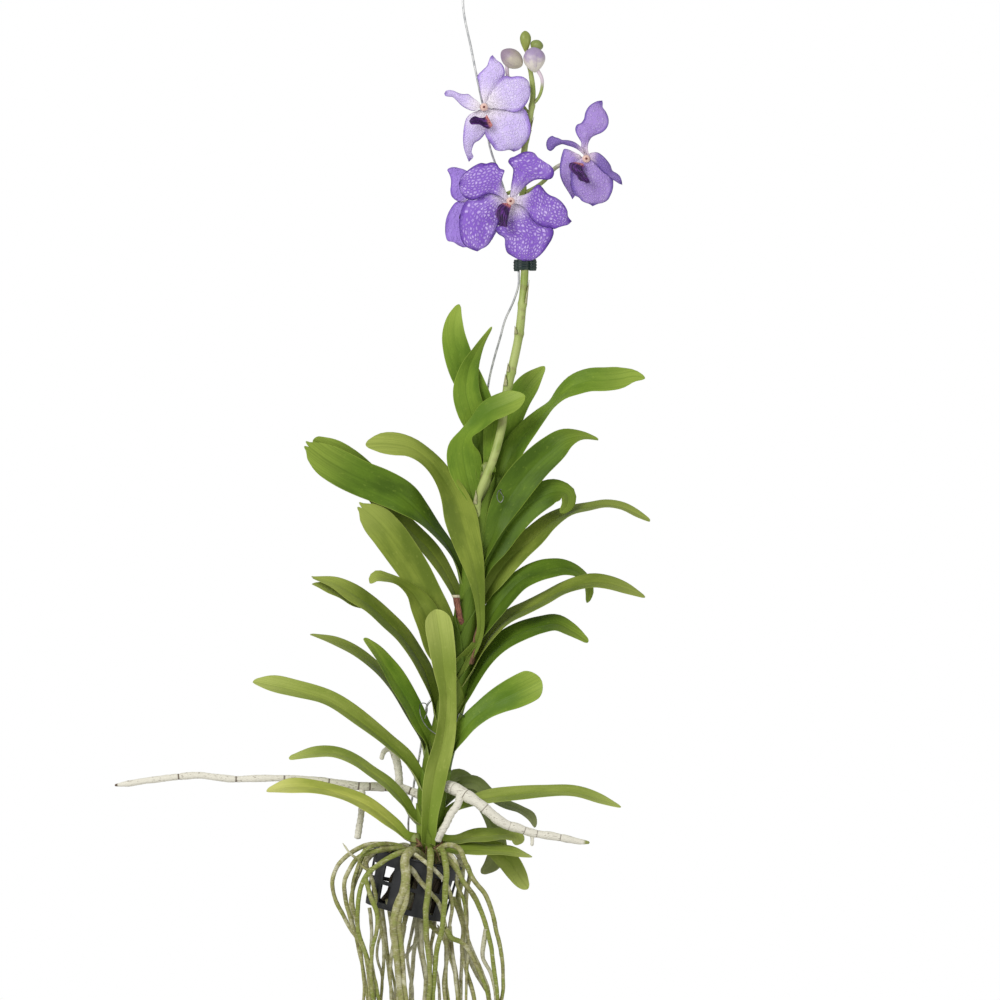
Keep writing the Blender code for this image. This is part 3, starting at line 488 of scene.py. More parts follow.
@dataclass(frozen=True)
class LeafFinish:
    """Waxy strap leaf: fine veins along it, a channel down the middle and a thin pale margin, with painted
    shade towards its base, painted light towards its tip and a paler back that is partly painted light
    through the leaf.
    """

    name: str
    upper: Tint
    deep: Tint
    under: Tint
    base: Tint
    tip: Tint

    def material(self) -> Material:
        """Makes the leaf's material.

        Returns:
            The material.
        """
        made = Recipe(self.name)
        across, along, under = made.note("spot")
        reach, run, seed = made.note("lay")
        side = made.maths("ABSOLUTE", across)
        shift = made.maths("MULTIPLY", seed, 7.3)
        cloud = made.weave(reach, run, shift, 0.05, 0.018, 4)
        veins = made.weave(reach, run, shift, 1.5, 0.012)
        flecks = made.weave(reach, run, shift, 0.35, 0.2, 3)
        colour = made.coat(self.deep, self.upper, cloud, 0.36, 0.66)
        # Darker towards the base: painted shade where the leaves crowd round the cane
        colour = made.coat(colour, self.base, along, 0.36, 0.05)
        # Lighter towards the tip: painted light where the leaf reaches out of the plant's shade; this colour
        # also makes the real pale flecks and margin
        colour = made.coat(colour, self.tip, along, 0.72, 1.0, 0.8)
        # Paler underside: partly the leaf's own paler back, partly painted light standing in for light
        # shining through the leaf
        colour = made.coat(colour, self.under, under, 0.2, 0.8)
        colour = made.coat(colour, self.deep, veins, 0.42, 0.64, 0.3)
        colour = made.coat(colour, self.tip, flecks, 0.6, 0.74, 0.22)
        colour = made.coat(colour, self.deep, side, 0.07, 0.0, 0.3)
        colour = made.coat(colour, self.tip, side, 0.945, 0.99, 0.7)
        roughness = made.fade(cloud, 0.3, 0.7, 0.32, 0.46)
        height = made.maths("ADD", made.maths("MULTIPLY", veins, 0.7), made.maths("MULTIPLY", flecks, 0.5))
        return made.finish(colour, roughness, height, 0.3, Specular_IOR_Level=0.1)


@dataclass(frozen=True)
class PetalFinish:
    """Tessellated petal: pale cells between darker veins, a white heart and a deeper rim that is partly the
    petal's own colour and partly painted shade at its curled edges.
    """

    name: str
    ground: Tint
    cell: Tint
    rim: Tint
    heart: Tint
    heart_reach: float
    cell_share: float
    back: Tint
    mesh: float = 0.27

    def material(self) -> Material:
        """Makes the petal's material.

        Returns:
            The material.
        """
        made = Recipe(self.name)
        across, along, under = made.note("spot")
        reach, run, seed = made.note("lay")
        shift = made.maths("MULTIPLY", seed, 5.1)
        wide = made.maths("MULTIPLY", reach, self.mesh)
        lattice = made.point(wide, made.maths("MULTIPLY", run, self.mesh * 1.1), shift)
        net = made.add("ShaderNodeTexVoronoi", {"Vector": lattice, "Scale": 1.0, "Randomness": 0.8},
                       feature="DISTANCE_TO_EDGE")
        cloud = made.weave(reach, run, shift, 0.09, 0.07, 3)
        streaks = made.weave(reach, run, shift, 1.1, 0.05)
        side = made.maths("ABSOLUTE", across)
        # Deeper towards the edges and the tip: partly the petal's own rim colour, partly painted shade where
        # the edges curl
        rim = made.maths("MAXIMUM", made.fade(side, 0.66, 1.0), made.fade(along, 0.8, 1.0))
        pale = made.fade(net.outputs["Distance"], 0.07, 0.3)
        keep = made.maths("MULTIPLY", made.fade(rim, 0.95, 0.1, 0.08, 1.0), self.cell_share)
        keep = made.maths("MULTIPLY", keep, made.fade(cloud, 0.3, 0.62, 0.35, 1.0))
        spotted = made.maths("MULTIPLY", pale, keep)
        colour = made.coat(self.ground, self.rim, rim, 0.1, 1.0)
        colour = made.coat(colour, self.cell, cloud, 0.45, 0.8, 0.3)
        colour = made.coat(colour, self.rim, streaks, 0.45, 0.7, 0.25)
        colour = made.tint(spotted, colour, self.cell)
        reached = made.maths("ADD", along, made.maths("MULTIPLY", streaks, 0.22))
        core = made.fade(reached, self.heart_reach, 0.1)
        colour = made.tint(core, colour, self.heart)
        colour = made.coat(colour, self.back, under, 0.2, 0.8, 0.65)
        height = made.maths("ADD", pale, made.maths("MULTIPLY", streaks, 0.5))
        return made.finish(colour, 0.5, height, 0.5, Specular_IOR_Level=0.3)


@dataclass(frozen=True)
class LipFinish:
    """Velvety dark lip with paler ridges and a spotted orange throat."""

    name: str = "lip_velvet"
    dark: Tint = (0.03, 0.007, 0.06)
    ridge: Tint = (0.13, 0.03, 0.24)
    throat: Tint = (0.6, 0.22, 0.2)
    spots: Tint = (0.2, 0.02, 0.06)

    def material(self) -> Material:
        """Makes the lip's material.

        Returns:
            The material.
        """
        made = Recipe(self.name)
        across, along, _ = made.note("spot")
        reach, run, seed = made.note("lay")
        ribs = made.point(made.maths("MULTIPLY", across, 3.2), made.maths("MULTIPLY", run, 0.12), seed)
        stripe = made.noise(ribs, 1.6, 2)
        dots = made.noise(made.point(reach, run, seed), 0.9, 1)
        colour = made.coat(self.dark, self.ridge, stripe, 0.46, 0.68)
        mouth = made.coat(self.throat, self.spots, dots, 0.5, 0.6)
        colour = made.coat(colour, mouth, along, 0.2, 0.06)
        return made.finish(colour, 0.38, stripe, 0.35, Specular_IOR_Level=0.35)


@dataclass(frozen=True)
class ColumnFinish:
    """Pale waxy column with a peach cap, a freckled throat side and a dark eye."""

    name: str = "column_wax"
    body: Tint = (0.8, 0.68, 0.74)
    cap: Tint = (0.82, 0.56, 0.47)
    eye: Tint = (0.16, 0.025, 0.02)

    def material(self) -> Material:
        """Makes the column's material.

        Returns:
            The material.
        """
        made = Recipe(self.name)
        _, along, _ = made.note("spot")
        freckles = made.noise(made.place(), 900.0, 2)
        colour = made.coat(self.body, self.cap, along, 0.25, 0.8)
        colour = made.coat(colour, self.eye, freckles, 0.58, 0.7, 0.5)
        colour = made.coat(colour, self.eye, along, 0.955, 0.99)
        return made.finish(colour, 0.35, freckles, 0.08, Coat_Weight=0.2)


@dataclass(frozen=True)
class BudFinish:
    """Closed bud: green or cream at the stalk, flushed towards the tip, with fine lengthwise lines."""

    name: str
    base: Tint
    flush: Tint
    seam: Tint

    def material(self) -> Material:
        """Makes the bud's material.

        Returns:
            The material.
        """
        made = Recipe(self.name)
        around, along, _ = made.note("spot")
        cloud = made.noise(made.place(), 150.0, 3)
        lines = made.noise(made.point(made.maths("MULTIPLY", around, 40.0), along, 0.0), 1.0, 1)
        mixed = made.sway(along, cloud, 0.9)
        colour = made.coat(self.base, self.flush, mixed, 0.15, 0.8)
        colour = made.coat(colour, self.seam, lines, 0.5, 0.7, 0.35)
        return made.finish(colour, 0.45, lines, 0.12)


@dataclass(frozen=True)
class StalkFinish:
    """Living green stalk, streaked along its length and stained with brown and violet in patches."""

    name: str
    green: Tint
    pale: Tint
    stain: Tint
    # How much of the stalk the brown and violet stains cover; on the stalk they are real stains, not shade
    stain_and_shade_share: float = 0.5

    def material(self) -> Material:
        """Makes the stalk's material.

        Returns:
            The material.
        """
        made = Recipe(self.name)
        place = made.place()
        cloud = made.noise(place, 45.0, 4)
        grain = made.noise(made.stretched(1, 0.08), 900.0, 3)
        colour = made.coat(self.green, self.pale, cloud, 0.38, 0.62)
        colour = made.coat(colour, self.pale, grain, 0.45, 0.7, 0.4)
        colour = made.coat(colour, self.stain, made.noise(place, 95.0, 3), 0.56, 0.72, self.stain_and_shade_share)
        return made.finish(colour, made.fade(cloud, 0.3, 0.7, 0.4, 0.58), grain, 0.2)


@dataclass(frozen=True)
class PedicelFinish:
    """Flower stalk, flushed pale at the flower and green where it leaves the spike."""

    name: str = "pedicel_skin"
    flushed: Tint = (0.66, 0.55, 0.62)
    green: Tint = (0.3, 0.37, 0.09)
    stain: Tint = (0.36, 0.26, 0.22)

    def material(self) -> Material:
        """Makes the pedicel's material.

        Returns:
            The material.
        """
        made = Recipe(self.name)
        _, share, _ = made.note("tone")
        cloud = made.noise(made.place(), 160.0, 3)
        mixed = made.sway(share, cloud, 0.5)
        colour = made.coat(self.flushed, self.green, mixed, 0.25, 0.6)
        colour = made.coat(colour, self.stain, cloud, 0.6, 0.75, 0.6)
        return made.finish(colour, 0.48, cloud, 0.12)


@dataclass(frozen=True)
class RootFinish:
    """Spongy root coat, pale where dry and green where wet, with a bare tip, dark cracks and soft dark
    patches of painted shade where the strands crowd.

    The note tone holds how green the strand is, how near the tip a point lies and how deeply it is cracked.
    """

    name: str
    dry: Tint = (0.6, 0.585, 0.4)
    straw: Tint = (0.345, 0.335, 0.13)
    green: Tint = (0.225, 0.27, 0.045)
    bare: Tint = (0.2, 0.26, 0.05)
    # Colour of the real cracks, also used for the patches of painted shade
    crack: Tint = (0.09, 0.055, 0.03)
    # How much of the root the patches of painted shade cover
    stain_and_shade_share: float = 0.5

    def material(self) -> Material:
        """Makes the root's material.

        Returns:
            The material.
        """
        made = Recipe(self.name)
        wet, tip, cut = made.note("tone")
        place = made.place()
        cloud = made.noise(place, 38.0, 4)
        mottle = made.noise(place, 230.0, 3)
        grit = made.noise(place, 1100.0, 2)
        share = made.sway(wet, cloud, 1.3)
        share = made.sway(share, mottle, 0.9)
        colour = made.coat(self.dry, self.straw, share, 0.1, 0.5)
        colour = made.coat(colour, self.green, share, 0.4, 0.85)
        rings = made.noise(made.stretched(0.5, 1.6), 520.0, 3)
        # Soft dark patches in the crack colour: painted shade where the strands crowd, not a stain
        colour = made.coat(colour, self.crack, made.noise(place, 55.0, 3), 0.5, 0.72, self.stain_and_shade_share)
        colour = made.coat(colour, self.dry, rings, 0.56, 0.7, 0.55)
        colour = made.coat(colour, self.crack, rings, 0.42, 0.32, 0.5)
        colour = made.coat(colour, self.crack, grit, 0.36, 0.28, 0.4)
        colour = made.coat(colour, self.bare, tip, 0.6, 0.8)
        colour = made.coat(colour, self.crack, cut, 0.3, 0.9)
        height = made.maths("ADD", grit, made.maths("MULTIPLY", mottle, 1.5))
        return made.finish(colour, made.fade(tip, 0.6, 0.8, 0.85, 0.45), height, 0.35)


@dataclass(frozen=True)
class WireFinish:
    """Drawn metal wire with a dull galvanised coat."""

    name: str = "galvanised_wire"
    bright: Tint = (0.78, 0.78, 0.77)
    dull: Tint = (0.46, 0.47, 0.48)
    metallic: float = 0.9

    def material(self) -> Material:
        """Makes the wire's material.

        Returns:
            The material.
        """
        made = Recipe(self.name)
        place = made.place()
        patches = made.noise(place, 160.0, 3)
        drawn = made.noise(made.stretched(1, 0.05), 2500.0, 2)
        colour = made.coat(self.bright, self.dull, patches, 0.4, 0.62)
        roughness = made.fade(patches, 0.35, 0.65, 0.28, 0.5)
        return made.finish(colour, roughness, drawn, 0.04, Metallic=self.metallic)


@dataclass(frozen=True)
class PlasticFinish:
    """Moulded plastic with a faint grain and a dusty bloom."""

    name: str
    tone: Tint
    bloom: Tint
    roughness: float
    bloom_share: float

    def material(self) -> Material:
        """Makes the plastic's material.

        Returns:
            The material.
        """
        made = Recipe(self.name)
        place = made.place()
        dust = made.noise(place, 70.0, 4)
        grain = made.noise(place, 1600.0, 2)
        colour = made.coat(self.tone, self.bloom, dust, 0.42, 0.75, self.bloom_share)
        roughness = made.fade(dust, 0.3, 0.7, self.roughness, self.roughness + 0.18)
        return made.finish(colour, roughness, grain, 0.05)


@dataclass(frozen=True)
class HuskFinish:
    """Dried plant skin: torn fibres in brown and straw."""

    name: str
    dark: Tint
    light: Tint

    def material(self) -> Material:
        """Makes the husk's material.

        Returns:
            The material.
        """
        made = Recipe(self.name)
        place = made.place()
        fibres = made.noise(made.stretched(1, 0.12), 1300.0, 4)
        cloud = made.noise(place, 210.0, 3)
        colour = made.coat(self.dark, self.light, fibres, 0.4, 0.62)
        colour = made.coat(colour, self.dark, cloud, 0.5, 0.7, 0.6)
        return made.finish(colour, 0.85, fibres, 0.4)


# Geometry nodes


class Growth(Tree):
    """A geometry tree with named inputs, whose result is kept as a plain mesh."""

    def __init__(self, name: str, inputs: dict[str, tuple[str, object]]) -> None:
        """Starts the tree.

        Args:
            name: The tree's name.
            inputs: The type of each input and its usual value, by name.
        """
        super().__init__(bpy.data.node_groups.new(name, "GeometryNodeTree"))
        face = self.tree.interface
        face.new_socket("Geometry", in_out="OUTPUT", socket_type="NodeSocketGeometry")
        face.new_socket("Geometry", in_out="INPUT", socket_type="NodeSocketGeometry")
        self.keys: dict[str, str] = {}
        for label, (kind, usual) in inputs.items():
            socket = face.new_socket(label, in_out="INPUT", socket_type="NodeSocket" + kind)
            if usual is not None:
                socket.default_value = usual
            self.keys[label] = socket.identifier
        self.given = self.tree.nodes.new("NodeGroupInput").outputs

    def end(self, geometry: Socket) -> None:
        """Closes the tree: copies become real geometry and take the finish.

        Args:
            geometry: What the tree gives out.
        """
        real = self.add("GeometryNodeRealizeInstances", {"Geometry": geometry})
        shaded = self.add("GeometryNodeSetShadeSmooth", {"Geometry": real.outputs[0]})
        finish = {"Geometry": shaded.outputs[0], "Material": self.given["Finish"]}
        result = self.add("GeometryNodeSetMaterial", finish)
        out = self.tree.nodes.new("NodeGroupOutput")
        self.tree.links.new(result.outputs[0], out.inputs[0])

    def grow(self, name: str, seedling: bpy.types.Mesh, **values: object) -> bpy.types.Object:
        """Runs the tree on a mesh.

        Args:
            name: The new object's name.
            seedling: The mesh that it starts from.
            values: The inputs that differ from their usual values, by name.

        Returns:
            The new object, holding the result as a plain mesh.
        """
        made = bpy.data.objects.new(name, seedling)
        bpy.context.scene.collection.objects.link(made)
        modifier = made.modifiers.new("growth", "NODES")
        modifier.node_group = self.tree
        for label, value in values.items():
            modifier[self.keys[label]] = value
        depsgraph = bpy.context.evaluated_depsgraph_get()
        result = bpy.data.meshes.new_from_object(
            made.evaluated_get(depsgraph), preserve_all_data_layers=True, depsgraph=depsgraph
        )
        made.modifiers.clear()
        made.data = result
        result.name = name
        return made


class StrandGrowth(Growth):
    """Grows a round strand along every path, as thick as the path's own note says."""

    def __init__(self) -> None:
        """Builds the tree."""
        super().__init__("strand_growth", {
            "Step": ("Float", 0.003),
            "Sides": ("Int", 12),
            "Lump": ("Float", 0.0),
            "Lump Scale": ("Float", 60.0),
            "Wander": ("Float", 0.0),
            "Grain": ("Float", 0.0),
            "Finish": ("Material", None),
        })
        given = self.given
        curve = self.add("GeometryNodeMeshToCurve", {"Mesh": given["Geometry"]}).outputs[0]
        length = {"Curve": curve, "Length": given["Step"]}
        curve = self.add("GeometryNodeResampleCurve", length, mode="LENGTH").outputs[0]
        place = self.add("GeometryNodeInputPosition").outputs[0]
        field = self.add("ShaderNodeTexNoise", {"Vector": place, "Scale": 26.0, "Detail": 1.0})
        centred = {0: field.outputs["Color"], 1: (0.5, 0.5, 0.5)}
        centred = self.add("ShaderNodeVectorMath", centred, operation="SUBTRACT").outputs[0]
        drift = {0: centred, "Scale": given["Wander"]}
        drift = self.add("ShaderNodeVectorMath", drift, operation="SCALE").outputs[0]
        curve = self.add("GeometryNodeSetPosition", {"Geometry": curve, "Offset": drift}).outputs[0]
        thick = self.add("GeometryNodeInputNamedAttribute", {"Name": "thick"}, data_type="FLOAT").outputs[0]
        swell = self.add("ShaderNodeTexNoise", {"Vector": place, "Scale": given["Lump Scale"]}).outputs["Fac"]
        swell = self.maths("MULTIPLY", self.maths("SUBTRACT", swell, 0.5), given["Lump"])
        scale = self.maths("MULTIPLY", thick, self.maths("ADD", swell, 1.0))
        profile = self.add("GeometryNodeCurvePrimitiveCircle", {"Resolution": given["Sides"], "Radius": 1.0})
        parts = {"Curve": curve, "Profile Curve": profile.outputs[0], "Scale": scale, "Fill Caps": True}
        tube = self.add("GeometryNodeCurveToMesh", parts).outputs[0]
        pits = self.add("ShaderNodeTexNoise", {"Vector": place, "Scale": 420.0, "Detail": 2.0}).outputs["Fac"]
        depth = self.maths("MULTIPLY", self.maths("SUBTRACT", pits, 0.5), given["Grain"])
        outward = self.add("GeometryNodeInputNormal").outputs[0]
        offset = self.add("ShaderNodeVectorMath", {0: outward, "Scale": depth}, operation="SCALE").outputs[0]
        self.end(self.add("GeometryNodeSetPosition", {"Geometry": tube, "Offset": offset}).outputs[0])

    def along(
        self, name: str, paths: list[Array], tones: list[tuple[float, float]],
        finish: Material, **values: object
    ) -> bpy.types.Object:
        """Grows strands along paths.

        Args:
            name: The new object's name.
            paths: For each strand, rows of X, Y, Z and radius in millimetres, and the share of a crack.
            tones: For each strand, how green it is and where its bare tip starts, as shares.
            finish: The material.
            values: Other inputs of the tree.

        Returns:
            The new object.
        """
        mesh = bpy.data.meshes.new(name + "_paths")
        points = np.concatenate([path[:, :4] for path in paths])
        edges, start = [], 0
        for path in paths:
            edges += [(start + i, start + i + 1) for i in range(len(path) - 1)]
            start += len(path)
        mesh.from_pydata(points[:, :3] * MM, edges, [])
        mesh.attributes.new("thick", "FLOAT", "POINT").data.foreach_set("value", points[:, 3] * MM)
        tone = []
        for path, (wet, tip) in zip(paths, tones):
            along = np.linspace(0, 1, len(path))
            near_tip = np.clip((along - tip) / max(1 - tip, 1e-6), 0, 1) if tip < 1 else along * 0
            cut = path[:, 4] if path.shape[1] > 4 else along * 0
            tone.append(np.column_stack([np.full(len(path), wet), near_tip, cut]))
        flat = np.concatenate(tone).astype(np.float32).ravel()
        mesh.attributes.new("tone", "FLOAT_VECTOR", "POINT").data.foreach_set("vector", flat)
        return self.grow(name, mesh, Finish=finish, **values)


class SectorGrowth(Growth):
    """Repeats one sector of a round moulding about the upright axis and joins the copies."""

    def __init__(self) -> None:
        """Builds the tree."""
        super().__init__("sector_growth", {
            "Count": ("Int", 10),
            "Gap": ("Float", 0.00005),
            "Finish": ("Material", None),
        })
        given = self.given
        line = {"Count": given["Count"], "Offset": (0.0, 0.0, 0.0)}
        points = self.add("GeometryNodeMeshLine", line).outputs[0]
        index = self.add("GeometryNodeInputIndex").outputs[0]
        turn = self.maths("DIVIDE", self.maths("MULTIPLY", index, math.tau), given["Count"])
        way = self.add("ShaderNodeCombineXYZ", {2: turn}).outputs[0]
        way = self.add("FunctionNodeEulerToRotation", {0: way}).outputs[0]
        copies = {"Points": points, "Instance": given["Geometry"], "Rotation": way}
        copies = self.add("GeometryNodeInstanceOnPoints", copies).outputs[0]
        real = self.add("GeometryNodeRealizeInstances", {"Geometry": copies}).outputs[0]
        joined = {"Geometry": real, "Distance": given["Gap"]}
        self.end(self.add("GeometryNodeMergeByDistance", joined).outputs[0])


# The cane and its leaves


class TipShape(Enum):
    """How a leaf ends."""

    POINTED = "pointed"
    BLUNT = "blunt"
    TWO_LOBED = "two_lobed"


class Shade(Enum):
    """Which of the leaf finishes a leaf wears."""

    FRESH = "fresh"
    LIME = "lime"
    OLIVE = "olive"
    GOLDEN = "golden"
    SHADED = "shaded"
    GREYED = "greyed"


# Leaf colours: upper, deep, under, base and tip. The darker base is painted shade near the cane, the lighter
# tip is painted light, and the paler under is partly the leaf's own back and partly painted light through it
LEAF_FINISHES = {
    Shade.FRESH: LeafFinish("leaf_fresh", (0.19, 0.3, 0.03), (0.1, 0.185, 0.016), (0.32, 0.41, 0.1),
        (0.125, 0.195, 0.022), (0.33, 0.43, 0.07)),
    Shade.LIME: LeafFinish("leaf_lime", (0.31, 0.375, 0.075), (0.19, 0.255, 0.036), (0.42, 0.46, 0.18),
        (0.21, 0.3, 0.04), (0.46, 0.52, 0.14)),
    Shade.OLIVE: LeafFinish("leaf_olive", (0.23, 0.29, 0.042), (0.12, 0.17, 0.02), (0.35, 0.4, 0.13),
        (0.135, 0.195, 0.025), (0.36, 0.42, 0.09)),
    Shade.GOLDEN: LeafFinish("leaf_golden", (0.52, 0.55, 0.12), (0.33, 0.38, 0.06), (0.56, 0.57, 0.22),
        (0.22, 0.31, 0.04), (0.66, 0.66, 0.22)),
    # A darker copy of the leaf colours: painted shade for leaves that sit in the shade of others
    Shade.SHADED: LeafFinish("leaf_shaded", (0.105, 0.185, 0.015), (0.055, 0.105, 0.009),
        (0.21, 0.28, 0.08), (0.1, 0.165, 0.018), (0.28, 0.37, 0.055)),
    Shade.GREYED: LeafFinish("leaf_greyed", (0.22, 0.27, 0.085), (0.13, 0.17, 0.04), (0.34, 0.37, 0.2),
        (0.18, 0.25, 0.05), (0.33, 0.36, 0.16)),
}

# Cane axis: x, y, depth, radius
CANE = [
    (428, 850, 0, 9), (430, 820, 0, 11), (433, 790, 0, 12), (438, 760, 0, 12), (445, 730, 0, 11.5),
    (452, 700, 0, 11), (459, 665, 0, 10.5), (465, 630, 0, 10), (470, 595, 0, 9.5), (475, 560, 0, 9),
    (480, 525, 0, 8), (484, 490, 0, 7), (487, 462, 0, 5),
]

